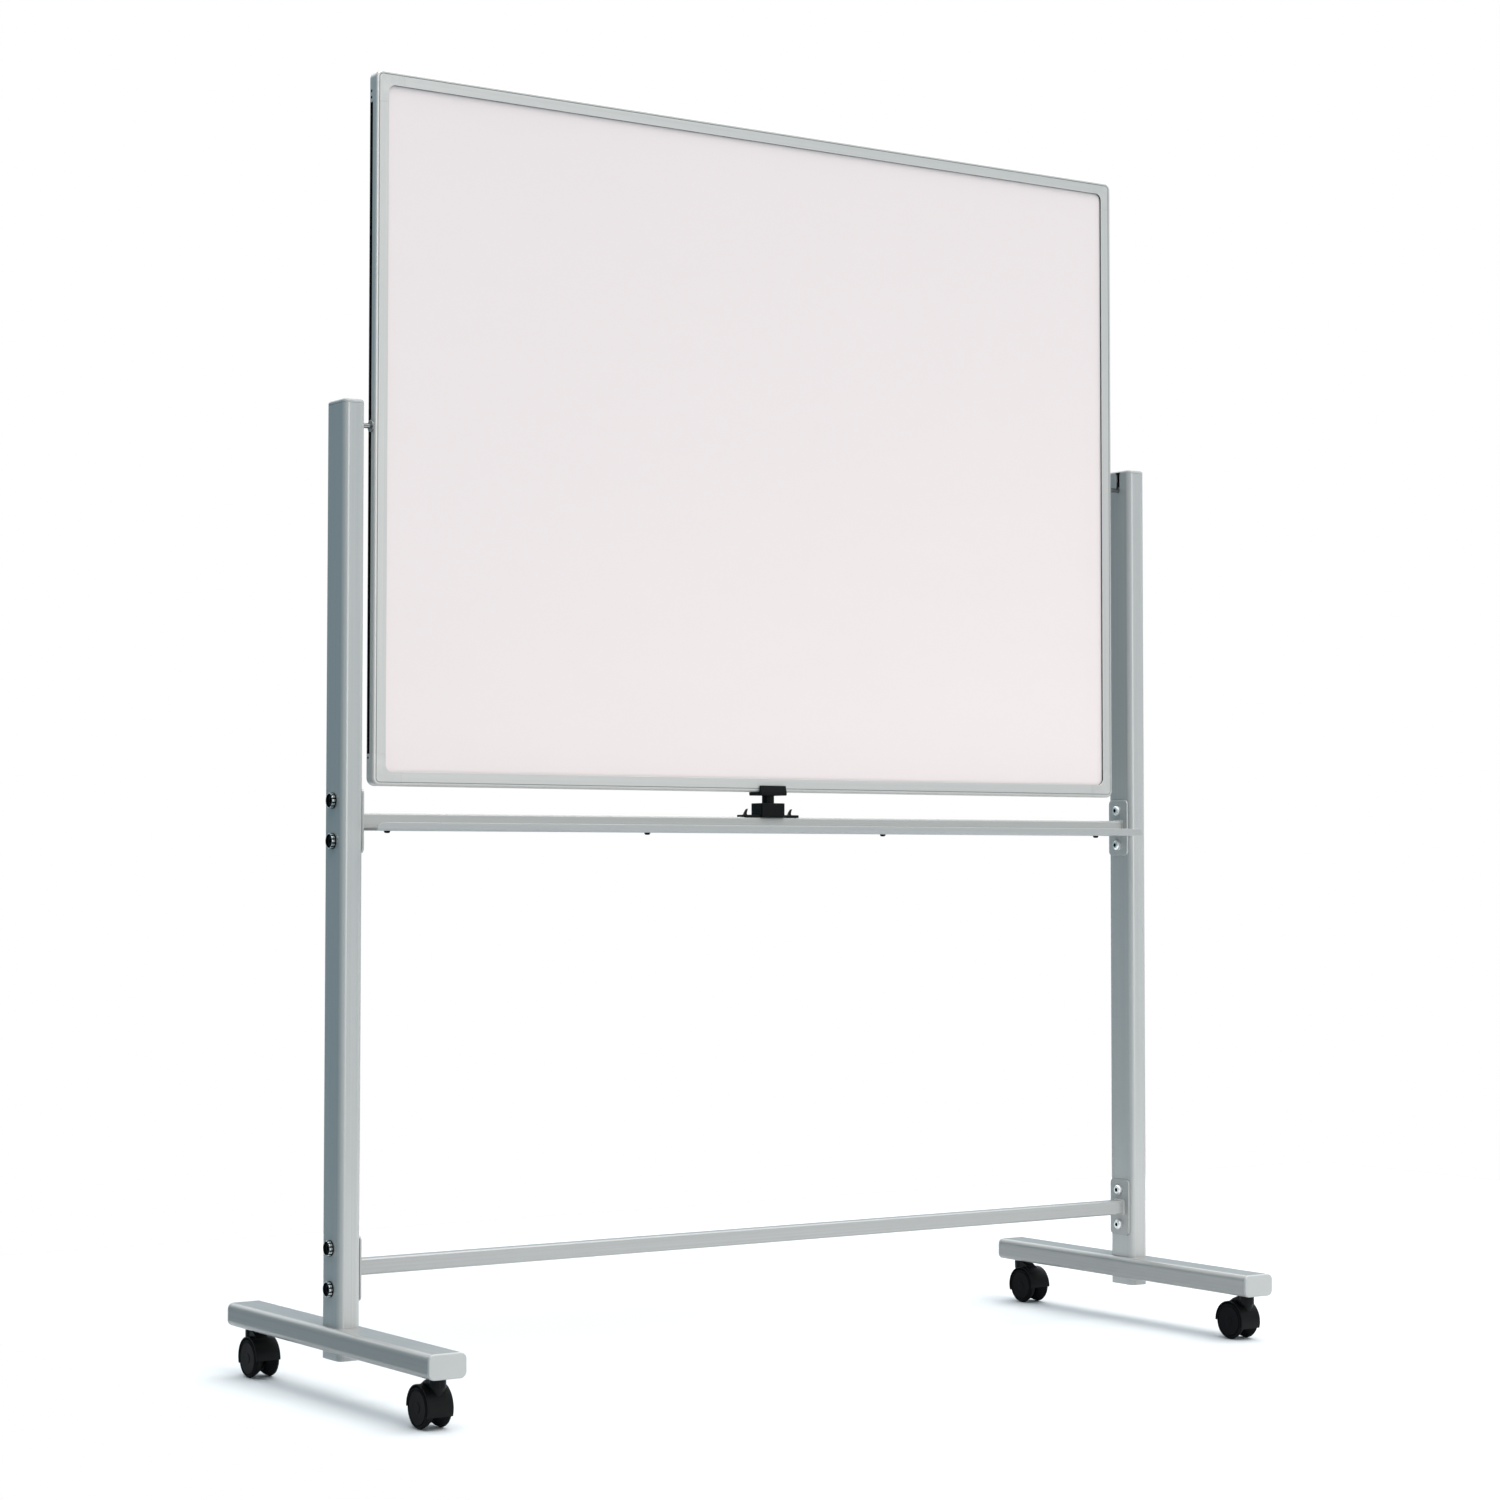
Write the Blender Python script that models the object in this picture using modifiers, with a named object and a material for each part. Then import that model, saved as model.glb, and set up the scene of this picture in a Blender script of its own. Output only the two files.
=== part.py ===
# Rolling revolving whiteboard: a two-sided board in an aluminium frame that
# turns on two pivot pins between two tube uprights.  The uprights stand in two
# tube feet on twin-wheel casters and are tied by two crossbars.  The upper
# crossbar carries a pen tray and a spring-loaded catch that straddles the
# board's bottom rail and keeps it upright.
#
# Frame: metres, +Z up, origin on the floor under the middle of the board,
# X along the board's width, -Y towards the reader.

import math
import bpy
import bmesh
from mathutils import Matrix, Vector

MM = 0.001

# ------------------------------------------------------------ driving dimensions (mm)
GAP = 0.3                      # gap kept between neighbouring pieces

BOARD_W, BOARD_H, BOARD_T = 1200.0, 900.0, 18.0
PIVOT_Z = 1207.0               # height of the turning axis
RAIL_W = 18.0                  # face width of the frame
RECESS = 3.0                   # writing surface below the frame's face
REBATE = 0.6                   # step at the edge of the writing sheets, under the frame's lips
CORNER_LEG, CORNER_R, OPENING_R = 40.0, 10.0, 9.0
POCKET = 8.0                   # how far in from the outer edge the panel pocket starts
SLOT_Y0, SLOT_Y1, SLOT_D = 0.4, 7.6, 6.5   # groove along the outer edge of the rails

UP_X = 635.0                   # centre of the uprights
UP_W, UP_D, UP_R, WALL = 30.0, 50.0, 8.0, 1.5
UP_Z0, UP_Z1, UP_CAP = 52.0, 1231.0, 5.0
PIN_R = 3.25

FOOT_W, FOOT_H, FOOT_R = 50.0, 30.0, 8.0
FOOT_Z0, FOOT_L, FOOT_CAP = 62.0, 550.0, 4.0

BAR, BAR_R, BAR_END = 20.0, 3.0, 617.0
BAR_UP_Z, BAR_LOW_Z = 713.0, 163.0
FLANGE_T, FLANGE_W, FLANGE_H, BOLT_DZ = 2.7, 40.0, 80.0, 25.0

TRAY_T, TRAY_FRONT, TRAY_BACK, TRAY_TOP, LIP_TOP = 1.5, -56.0, 10.0, 702.7, 711.0
TRAY_SCREWS = (-575.0, -192.0, 192.0, 575.0)

LATCH_Z = 723.0                # top of the upper crossbar
LATCH_TOP, CATCH_Z, TRAVEL = 742.0, 752.3, 9.5

CASTER_Y, TRAIL, WHEEL_R = 250.0, 19.0, 25.0
WHEEL_OUT, WHEEL_IN, CROWN_X, WHEEL_FACETS = 17.5, 1.5, 13.2, 16
HOOD_R, HOOD_IN, HOOD_X = 27.6, 26.2, 17.0
WHEEL_ROOM = 25.85             # clear radius round the wheels

# ------------------------------------------------------------ scene and collections
for ob in list(bpy.data.objects):
    bpy.data.objects.remove(ob, do_unlink=True)

parts = bpy.data.collections.new("rolling_whiteboard")
cutters = bpy.data.collections.new("cutters")
bpy.context.scene.collection.children.link(parts)
bpy.context.scene.collection.children.link(cutters)


def material(name, rgb, rough, metal):
    m = bpy.data.materials.new(name)
    m.use_nodes = True
    p = m.node_tree.nodes["Principled BSDF"]
    p.inputs["Base Color"].default_value = (rgb[0], rgb[1], rgb[2], 1.0)
    p.inputs["Roughness"].default_value = rough
    p.inputs["Metallic"].default_value = metal
    return m


M_STEEL = material("grey_painted_steel", (0.55, 0.57, 0.57), 0.45, 0.3)
M_ALU = material("anodised_aluminium", (0.62, 0.64, 0.63), 0.38, 0.6)
M_WHITE = material("white_enamel", (0.87, 0.86, 0.85), 0.2, 0.0)
M_CAP = material("light_grey_plastic", (0.60, 0.62, 0.62), 0.45, 0.0)
M_BLACK = material("black_plastic", (0.012, 0.013, 0.014), 0.4, 0.0)
M_CHROME = material("bright_steel", (0.75, 0.76, 0.77), 0.15, 1.0)


# ------------------------------------------------------------ helpers
def new_object(name, mesh, mat, coll):
    ob = bpy.data.objects.new(name, mesh)
    coll.objects.link(ob)
    if mat is not None:
        mesh.materials.clear()
        mesh.materials.append(mat)
    return ob


def as_cutter(ob):
    for c in list(ob.users_collection):
        c.objects.unlink(ob)
    cutters.objects.link(ob)
    ob.hide_render = True
    ob.display_type = "WIRE"
    return ob


def axes_matrix(ax, ay, az, origin):
    m = Matrix.Identity(4)
    for i, v in enumerate((ax, ay, az)):
        for j in range(3):
            m[j][i] = v[j]
    for j in range(3):
        m[j][3] = origin[j] * MM
    return m


# local X, Y, Z of a flat outline -> world axes
ALONG_Z = ((1, 0, 0), (0, 1, 0), (0, 0, 1))      # outline in XY, thickness along Z
ALONG_X = ((0, 1, 0), (0, 0, 1), (1, 0, 0))      # outline in YZ, thickness along X
ALONG_Y = ((0, 0, 1), (1, 0, 0), (0, 1, 0))      # outline in ZX, thickness along Y


def extrude(name, loops, lo, hi, axes, mat, coll=parts, origin=(0, 0, 0)):
    """Flat outline (first loop) with holes (further loops), in mm, extruded from lo to hi."""
    cu = bpy.data.curves.new(name + "_outline", "CURVE")
    cu.dimensions = "2D"
    cu.fill_mode = "BOTH"
    cu.extrude = 0.5 * (hi - lo) * MM
    for loop in loops:
        sp = cu.splines.new("POLY")
        sp.points.add(len(loop) - 1)
        for p, (x, y) in zip(sp.points, loop):
            p.co = (x * MM, y * MM, 0.0, 1.0)
        sp.use_cyclic_u = True
    tmp = bpy.data.objects.new(name + "_tmp", cu)
    parts.objects.link(tmp)
    bpy.context.view_layer.update()
    dg = bpy.context.evaluated_depsgraph_get()
    me = bpy.data.meshes.new_from_object(tmp.evaluated_get(dg))
    bpy.data.objects.remove(tmp, do_unlink=True)
    me.name = name
    bm = bmesh.new()
    bm.from_mesh(me)
    bmesh.ops.remove_doubles(bm, verts=bm.verts, dist=0.00001)
    bmesh.ops.dissolve_limit(bm, angle_limit=0.0005, verts=bm.verts, edges=bm.edges)
    bmesh.ops.recalc_face_normals(bm, faces=bm.faces)
    bm.to_mesh(me)
    bm.free()
    ob = new_object(name, me, mat, coll)
    mid = 0.5 * (lo + hi)
    az = axes[2]
    o = [origin[j] + az[j] * mid for j in range(3)]
    ob.matrix_world = axes_matrix(axes[0], axes[1], axes[2], o)
    if coll is cutters:
        as_cutter(ob)
    return ob


def box(name, lo, hi, mat=None, coll=parts):
    me = bpy.data.meshes.new(name)
    bm = bmesh.new()
    size = [(hi[i] - lo[i]) * MM for i in range(3)]
    bmesh.ops.create_cube(bm, size=1.0, matrix=Matrix.Diagonal((size[0], size[1], size[2], 1.0)))
    bm.to_mesh(me)
    bm.free()
    ob = new_object(name, me, mat, coll)
    ob.location = [0.5 * (lo[i] + hi[i]) * MM for i in range(3)]
    if coll is cutters:
        as_cutter(ob)
    return ob


def rod(name, r, lo, hi, axis, centre, seg=16, mat=None, coll=parts, r2=None):
    """Cylinder or cone from lo to hi along a world axis; centre gives the other two coordinates."""
    me = bpy.data.meshes.new(name)
    bm = bmesh.new()
    bmesh.ops.create_cone(bm, cap_ends=True, segments=seg, radius1=r * MM,
                          radius2=(r if r2 is None else r2) * MM, depth=(hi - lo) * MM)
    bm.to_mesh(me)
    bm.free()
    ob = new_object(name, me, mat, coll)
    axes = {"X": ALONG_X, "Y": ALONG_Y, "Z": ALONG_Z}[axis]
    mid = 0.5 * (lo + hi)
    o = {"X": (mid, centre[0], centre[1]), "Y": (centre[0], mid, centre[1]),
         "Z": (centre[0], centre[1], mid)}[axis]
    ob.matrix_world = axes_matrix(axes[0], axes[1], axes[2], o)
    if coll is cutters:
        as_cutter(ob)
    return ob


def turned(name, profile, axes, origin, steps, mat, flip=False):
    """Profile [(radius, height), ...] in mm, running down the outer side, turned about local Z."""
    me = bpy.data.meshes.new(name)
    bm = bmesh.new()
    vs = [bm.verts.new((r * MM, 0.0, h * MM)) for r, h in profile]
    for a, b in zip(vs, vs[1:]):
        bm.edges.new((a, b))
    bm.to_mesh(me)
    bm.free()
    ob = new_object(name, me, mat, parts)
    sc = ob.modifiers.new("turn", "SCREW")
    sc.axis = "Z"
    sc.steps = steps
    sc.render_steps = steps
    sc.use_merge_vertices = True
    sc.merge_threshold = 0.00001
    sc.use_smooth_shade = True
    ob.matrix_world = axes_matrix(axes[0], axes[1], axes[2], origin)
    return ob


def boolean(ob, tool, op="DIFFERENCE"):
    md = ob.modifiers.new(op.lower(), "BOOLEAN")
    md.operation = op
    md.solver = "EXACT"
    md.object = tool
    as_cutter(tool)
    return ob


def bevel(ob, width, segments=2, angle=50.0, weight=None):
    """Rounded edges: by angle, or only where weight(v1, v2) is true for the edge's local ends."""
    if weight is not None:
        bm = bmesh.new()
        bm.from_mesh(ob.data)
        layer = bm.edges.layers.float.get("bevel_weight_edge") or bm.edges.layers.float.new("bevel_weight_edge")
        for e in bm.edges:
            if weight(e.verts[0].co / MM, e.verts[1].co / MM):
                e[layer] = 1.0
        bm.to_mesh(ob.data)
        bm.free()
    md = ob.modifiers.new("rounding", "BEVEL")
    md.width = width * MM
    md.segments = segments
    md.use_clamp_overlap = True
    md.limit_method = "WEIGHT" if weight is not None else "ANGLE"
    md.angle_limit = math.radians(angle)
    return ob


def arc(cx, cy, r, a0, a1, n):
    return [(cx + r * math.cos(math.radians(a0 + (a1 - a0) * i / n)),
             cy + r * math.sin(math.radians(a0 + (a1 - a0) * i / n))) for i in range(n + 1)]


def rounded(w, h, r, cx=0.0, cy=0.0, n=4):
    """Rectangle w by h with corner radius r."""
    x, y = w / 2 - r, h / 2 - r
    return (arc(cx + x, cy - y, r, -90, 0, n) + arc(cx + x, cy + y, r, 0, 90, n)
            + arc(cx - x, cy + y, r, 90, 180, n) + arc(cx - x, cy - y, r, 180, 270, n))


def smooth(ob, angle=35.0):
    ob.data.shade_smooth()
    ob.data.set_sharp_from_angle(angle=math.radians(angle))


def empty(name, pos):
    e = bpy.data.objects.new(name, None)
    e.empty_display_size = 0.03
    e.location = [c * MM for c in pos]
    parts.objects.link(e)
    return e


def ride(e, obs):
    bpy.context.view_layer.update()
    for ob in obs:
        mw = ob.matrix_world.copy()
        ob.parent = e
        ob.matrix_parent_inverse = e.matrix_world.inverted()
        ob.matrix_world = mw


SIDES = (("left", -1.0), ("right", 1.0))

# ------------------------------------------------------------ uprights and their caps
for side, s in SIDES:
    up = extrude("upright_" + side,
                 [rounded(UP_W, UP_D, UP_R), rounded(UP_W - 2 * WALL, UP_D - 2 * WALL, UP_R - WALL, n=2)],
                 UP_Z0, UP_Z1, ALONG_Z, M_STEEL, origin=(s * UP_X, 0, 0))
    # open-topped slot in the inner wall, in which the pivot pin rests
    xi = s * (UP_X - UP_W / 2)
    lo, hi = sorted((xi - s * 2.0, xi + s * (WALL + 1.0)))
    slot = [(-3.7, UP_Z1 + 5.0), (-3.7, PIVOT_Z)] + arc(0, PIVOT_Z, 3.7, 180, 360, 6)[1:] + [(3.7, UP_Z1 + 5.0)]
    boolean(up, extrude("cut_pin_slot_" + side, [slot], lo, hi, ALONG_X, None, cutters))
    for zc in (BAR_UP_Z, BAR_LOW_Z):
        for dz in (-BOLT_DZ, BOLT_DZ):
            boolean(up, rod("cut_up_bolt", 3.4, s * UP_X - 20, s * UP_X + 20, "X", (0, zc + dz), 8, coll=cutters))
    smooth(up)

    cap = extrude("upright_cap_" + side, [rounded(UP_W, UP_D, UP_R)], UP_Z1 + GAP, UP_Z1 + UP_CAP, ALONG_Z, M_CAP,
                  origin=(s * UP_X, 0, 0))
    half = 0.5 * (UP_CAP - GAP)
    bevel(cap, 3.4, 2, weight=lambda a, b: a.z > half - 0.01 and b.z > half - 0.01)
    plug = extrude("join_up_plug", [rounded(UP_W - 2 * WALL - 1.4, UP_D - 2 * WALL - 1.4, UP_R - WALL - 0.5, n=1)],
                   UP_Z1 - 11.0, UP_Z1 + 2.0, ALONG_Z, M_CAP, cutters, origin=(s * UP_X, 0, 0))
    boolean(cap, plug, "UNION")
    smooth(cap)

# ------------------------------------------------------------ feet, end caps
    foot = extrude("foot_" + side,
                   [rounded(FOOT_H, FOOT_W, FOOT_R), rounded(FOOT_H - 2 * WALL, FOOT_W - 2 * WALL, FOOT_R - WALL, n=2)],
                   -FOOT_L / 2 + FOOT_CAP, FOOT_L / 2 - FOOT_CAP, ALONG_Y, M_STEEL,
                   origin=(s * UP_X, 0, FOOT_Z0 + FOOT_H / 2))
    boolean(foot, extrude("cut_foot_upright", [rounded(UP_W + 2 * GAP, UP_D + 2 * GAP, UP_R - 1.0, n=3)],
                          FOOT_Z0 - 5, FOOT_Z0 + FOOT_H + 5, ALONG_Z, None, cutters, origin=(s * UP_X, 0, 0)))
    for e in (-1.0, 1.0):
        boolean(foot, rod("cut_foot_stem", 5.5, FOOT_Z0 - 3, FOOT_Z0 + 4, "Z", (s * UP_X, e * CASTER_Y), 12, coll=cutters))
    smooth(foot)
    for end, e in (("front", -1.0), ("rear", 1.0)):
        lo, hi = sorted((e * (FOOT_L / 2 - FOOT_CAP + GAP), e * FOOT_L / 2))
        fc = extrude("foot_cap_%s_%s" % (end, side), [rounded(FOOT_H, FOOT_W, FOOT_R)], lo, hi, ALONG_Y, M_CAP,
                     origin=(s * UP_X, 0, FOOT_Z0 + FOOT_H / 2))
        hh = 0.5 * (hi - lo)
        bevel(fc, 1.2, 1, weight=lambda a, b, hh=hh, e=e: a.z * e > hh - 0.01 and b.z * e > hh - 0.01)
        lo, hi = sorted((e * (FOOT_L / 2 - FOOT_CAP - 11.0), e * (FOOT_L / 2 - 1.5)))
        plug = extrude("join_foot_plug", [rounded(FOOT_H - 2 * WALL - 1.4, FOOT_W - 2 * WALL - 1.4, FOOT_R - WALL - 0.5, n=1)],
                       lo, hi, ALONG_Y, M_CAP, cutters, origin=(s * UP_X, 0, FOOT_Z0 + FOOT_H / 2))
        boolean(fc, plug, "UNION")
        smooth(fc)

# ------------------------------------------------------------ crossbars with welded end flanges
for level, zc in (("upper", BAR_UP_Z), ("lower", BAR_LOW_Z)):
    bar = extrude("crossbar_" + level,
                  [rounded(BAR, BAR, BAR_R, n=2), rounded(BAR - 2 * WALL, BAR - 2 * WALL, BAR_R - WALL, n=1)],
                  -BAR_END - 0.5, BAR_END + 0.5, ALONG_X, M_STEEL, origin=(0, 0, zc))
    for side, s in SIDES:
        lo, hi = sorted((s * BAR_END, s * (BAR_END + FLANGE_T)))
        fl = extrude("join_flange_" + side, [rounded(FLANGE_W, FLANGE_H, 6.0, n=2)], lo, hi, ALONG_X, M_STEEL, cutters,
                     origin=(0, 0, zc))
        boolean(bar, fl, "UNION")
        # vent left by the galvanising and painting, in the middle of the flange
        boolean(bar, rod("cut_vent", 5.0, min(lo, hi) - 2, max(lo, hi) + 2, "X", (0, zc), 8, coll=cutters))
        for dz in (-BOLT_DZ, BOLT_DZ):
            boolean(bar, rod("cut_flange_bolt", 3.4, lo - 3, hi + 3, "X", (0, zc + dz), 8, coll=cutters))
    if level == "upper":
        for x in TRAY_SCREWS:
            boolean(bar, rod("cut_bar_screw", 2.5, zc - BAR / 2 - 2, zc - BAR / 2 + 3, "Z", (x, 0), 8, coll=cutters))
        boolean(bar, rod("cut_bar_spring", 7.8, zc + BAR / 2 - 4, zc + BAR / 2 + 3, "Z", (0, 0), 16, coll=cutters))
        for x in (-30.0, 30.0):
            boolean(bar, rod("cut_bar_latch_pin", 2.5, zc + BAR / 2 - 3, zc + BAR / 2 + 3, "Z", (x, 0), 8, coll=cutters))
    smooth(bar)

    # through bolts: button head on the flange, sleeve nut on the upright's outer face
    for side, s in SIDES:
        for pos, dz in (("top", BOLT_DZ), ("bottom", -BOLT_DZ)):
            ax = ((0, 1, 0), (0, 0, s), (s, 0, 0))
            x_in, x_out = BAR_END - GAP, UP_X + UP_W / 2 + GAP
            prof = [(0.0, x_out + 5.4), (7.2, x_out + 5.4), (8.0, x_out + 4.6), (8.0, x_out + 1.2),
                    (10.0, x_out + 1.2), (10.0, x_out), (3.0, x_out),
                    (3.0, x_in), (7.0, x_in), (6.6, x_in - 3.0), (4.2, x_in - 6.0),
                    (0.0, x_in - 6.0)]
            bolt = turned("bolt_%s_%s_%s" % (level, side, pos), prof, ax, (0, 0, zc + dz), 10, M_CHROME)
            lo, hi = sorted((s * (x_in - 8.0), s * (x_in - 3.2)))
            boolean(bolt, rod("cut_socket", 2.3, lo, hi, "X", (0, zc + dz), 6, coll=cutters))

# ------------------------------------------------------------ pen tray and its screws
tray = box("tray", (-BAR_END, TRAY_FRONT, TRAY_TOP - TRAY_T), (BAR_END, TRAY_BACK, TRAY_TOP), M_STEEL)
lip_h = LIP_TOP - (TRAY_TOP - TRAY_T)
lip_z = TRAY_TOP - TRAY_T
lip = ([(lip_z, -BAR_END), (lip_z, BAR_END)] + arc(LIP_TOP - 7.0, BAR_END - 7.0, 7.0, 90, 0, 5)
       + arc(LIP_TOP - 7.0, -BAR_END + 7.0, 7.0, 0, -90, 5))
boolean(tray, extrude("join_lip", [lip], TRAY_FRONT, TRAY_FRONT + TRAY_T, ALONG_Y, M_STEEL, cutters), "UNION")
for x in TRAY_SCREWS:
    boolean(tray, rod("cut_tray_screw", 2.4, TRAY_TOP - 5, TRAY_TOP + 3, "Z", (x, 0), 10, coll=cutters))
for i, x in enumerate(TRAY_SCREWS):
    zb = TRAY_TOP - TRAY_T - GAP
    prof = [(0.0, BAR_UP_Z - 1.0), (2.0, BAR_UP_Z - 1.0), (2.0, zb), (4.0, zb), (3.7, zb - 1.4), (2.4, zb - 2.6), (0.0, zb - 3.0)]
    turned("tray_screw_%d" % (i + 1), prof, ALONG_Z, (x, 0, 0), 10, M_CHROME)

# ------------------------------------------------------------ latch: base, sliding catch, spring
base = box("latch_base", (-45.0, -10.0, LATCH_Z + GAP), (45.0, 10.0, LATCH_Z + 3.3), M_BLACK)
boolean(base, extrude("join_latch_body", [rounded(38.0, 28.0, 3.0, n=3)], LATCH_Z + 1.3, LATCH_TOP, ALONG_Z, M_BLACK, cutters),
        "UNION")
# two curved fins, their tips leaning the same way
for x in (-37.5, 34.5):
    z0 = LATCH_Z + 2.0
    fin = [(x - 2.2, z0), (x + 2.0, z0)]
    fin += [(x + 2.0 - 1.2 * t + 3.4 * t * t, z0 + 9.4 * t) for t in (0.35, 0.7, 1.0)]
    fin += [(x - 2.2 + 1.4 * t + 3.6 * t * t, z0 + 8.8 * t) for t in (0.75, 0.4)]
    f = extrude("join_fin", [[(b, a) for a, b in fin]], -2.0, 2.0, ALONG_Y, M_BLACK, cutters)
    boolean(base, f, "UNION")
boolean(base, rod("cut_latch_bore", 7.4, LATCH_Z - 3, LATCH_TOP + 3, "Z", (0, 0), 24, coll=cutters))
boolean(base, rod("cut_latch_counterbore", 8.6, LATCH_TOP - 10.4, LATCH_TOP + 3, "Z", (0, 0), 24, coll=cutters))
# two studs under the base locate it in the crossbar
for x in (-30.0, 30.0):
    boolean(base, rod("join_stud", 2.0, LATCH_Z - 6.0, LATCH_Z + 2.0, "Z", (x, 0), 10, M_BLACK, cutters), "UNION")
smooth(base)

catch = box("latch_catch", (-20.8, -15.0, CATCH_Z), (20.8, 15.0, CATCH_Z + 3.9), M_BLACK)
for e in (-1.0, 1.0):
    lo_y, hi_y = 10.2, 15.0
    up_out = [(CATCH_Z, e * lo_y), (CATCH_Z, e * (hi_y - 1.0)), (CATCH_Z + 1.0, e * hi_y), (CATCH_Z + 4.0, e * hi_y),
              (CATCH_Z + 13.2, e * (hi_y - 2.6)), (CATCH_Z + 13.2, e * (lo_y + 0.6)), (CATCH_Z + 12.4, e * lo_y)]
    ax = ((0, 0, 1), (0, 1, 0), (1, 0, 0))
    j = extrude("join_upstand", [up_out], -20.8, 20.8, ax, M_BLACK, cutters)
    boolean(catch, j, "UNION")
boolean(catch, rod("join_catch_stem", 7.0, LATCH_Z + 4.3, CATCH_Z + 1.0, "Z", (0, 0), 24, M_BLACK, cutters), "UNION")
boolean(catch, rod("join_catch_neck", 8.2, LATCH_TOP + 0.2, CATCH_Z + 1.0, "Z", (0, 0), 24, M_BLACK, cutters), "UNION")
smooth(catch)

SPRING_Z0, SPRING_Z1, TURNS, WIRE, COIL_R = 704.5 + GAP, LATCH_Z + 4.0, 6.0, 0.6, 5.4
cu = bpy.data.curves.new("latch_spring_path", "CURVE")
cu.dimensions = "3D"
cu.bevel_depth = WIRE * MM
cu.bevel_resolution = 1
cu.use_fill_caps = True
sp = cu.splines.new("POLY")
n = int(TURNS * 10)
sp.points.add(n)
for i in range(n + 1):
    t = i / n
    # the end turns lie flat, the middle turns carry the pitch
    f = min(max((t * TURNS - 0.9) / (TURNS - 1.8), 0.0), 1.0)
    flat = 1.35 * WIRE
    z = SPRING_Z0 + WIRE + flat * min(t * TURNS / 0.9, 1.0) + flat * max((t * TURNS - TURNS + 0.9) / 0.9, 0.0) \
        + (SPRING_Z1 - SPRING_Z0 - 2 * WIRE - 2 * flat) * f
    a = 2 * math.pi * TURNS * t
    sp.points[i].co = (COIL_R * math.cos(a) * MM, COIL_R * math.sin(a) * MM, z * MM, 1.0)
tmp = bpy.data.objects.new("latch_spring_tmp", cu)
parts.objects.link(tmp)
bpy.context.view_layer.update()
me = bpy.data.meshes.new_from_object(tmp.evaluated_get(bpy.context.evaluated_depsgraph_get()))
bpy.data.objects.remove(tmp, do_unlink=True)
bm = bmesh.new()
bm.from_mesh(me)
bmesh.ops.remove_doubles(bm, verts=bm.verts, dist=0.000005)
bmesh.ops.recalc_face_normals(bm, faces=bm.faces)
bm.to_mesh(me)
bm.free()
me.name = "latch_spring"
spring = new_object("latch_spring", me, M_CHROME, parts)
smooth(spring, 60.0)

# ------------------------------------------------------------ board: rails, corners, panels, pins
Z0, Z1 = PIVOT_Z - BOARD_H / 2, PIVOT_Z + BOARD_H / 2
HT = BOARD_T / 2
LIP_IN = HT - RECESS + 0.2     # inner side of the frame's lips, measured from mid-thickness
SLOT_WALL = 1.4


def rail_section():
    """Outline (distance in from the outer edge, depth) of the extruded rail, front at -depth."""
    o = []
    o += arc(3.0, -HT + 3.0, 3.0, 180, 270, 4)                       # rounded outer lip, front
    o += [(4.2, -HT), (4.6, -HT + 0.5), (5.0, -HT)]                  # fine groove
    o += [(RAIL_W - 0.5, -HT), (RAIL_W, -HT + 0.5), (RAIL_W, -LIP_IN), (POCKET, -LIP_IN)]
    o += [(POCKET, LIP_IN), (RAIL_W, LIP_IN), (RAIL_W, HT - 0.5), (RAIL_W - 0.5, HT)]
    o += [(5.0, HT), (4.6, HT - 0.5), (4.2, HT)]
    o += arc(1.4, HT - 1.4, 1.4, 90, 180, 2)                         # outer lip, rear
    o += [(0.0, SLOT_Y1), (SLOT_D, SLOT_Y1), (SLOT_D, SLOT_Y0), (0.0, SLOT_Y0)]
    return o


CHAMBER = [(1.6, -HT + 3.2), (SLOT_D - 0.2, -HT + 3.2), (SLOT_D - 0.2, SLOT_Y0 - 1.5), (1.6, SLOT_Y0 - 1.5)]
section = rail_section()
board_nodes = []
run_x = BOARD_W / 2 - CORNER_LEG - GAP / 2
run_z = BOARD_H / 2 - CORNER_LEG - GAP / 2
for side, s in SIDES:
    ax = ((-s, 0, 0), (0, 1, 0), (0, 0, 1))
    ax = ((-s, 0, 0), (0, 1, 0), (0, 0, -s))
    rl = extrude("frame_rail_" + side, [section, CHAMBER], -run_z, run_z, ax, M_ALU,
                 origin=(s * BOARD_W / 2, 0, PIVOT_Z))
    lo, hi = sorted((s * (BOARD_W / 2 + 2), s * (BOARD_W / 2 - POCKET - 1)))
    boolean(rl, rod("cut_rail_pin_" + side, PIN_R + GAP, lo, hi, "X", (0, PIVOT_Z), 16, coll=cutters))
    smooth(rl)
    board_nodes.append(rl)
for level, s in (("bottom", -1.0), ("top", 1.0)):
    ax = ((0, 0, -s), (0, 1, 0), (s, 0, 0))
    rl = extrude("frame_rail_" + level, [section, CHAMBER], -run_x, run_x, ax, M_ALU,
                 origin=(0, 0, PIVOT_Z + s * BOARD_H / 2))
    smooth(rl)
    board_nodes.append(rl)

L = CORNER_LEG - GAP / 2
corner_outline = ([(0.0, L)] + arc(CORNER_R, CORNER_R, CORNER_R, 180, 270, 6) + [(L, 0.0), (L, RAIL_W)]
                  + arc(RAIL_W + OPENING_R, RAIL_W + OPENING_R, OPENING_R, 270, 180, 5) + [(RAIL_W, L)])


def on_outer(v):
    """True on the corner piece's outer edge (local X, Y in from the outer corner)."""
    x, y = v.x, v.y
    if min(x, y) < 0.01:
        return True
    return x < CORNER_R and y < CORNER_R and abs(math.hypot(x - CORNER_R, y - CORNER_R) - CORNER_R) < 0.05


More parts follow.
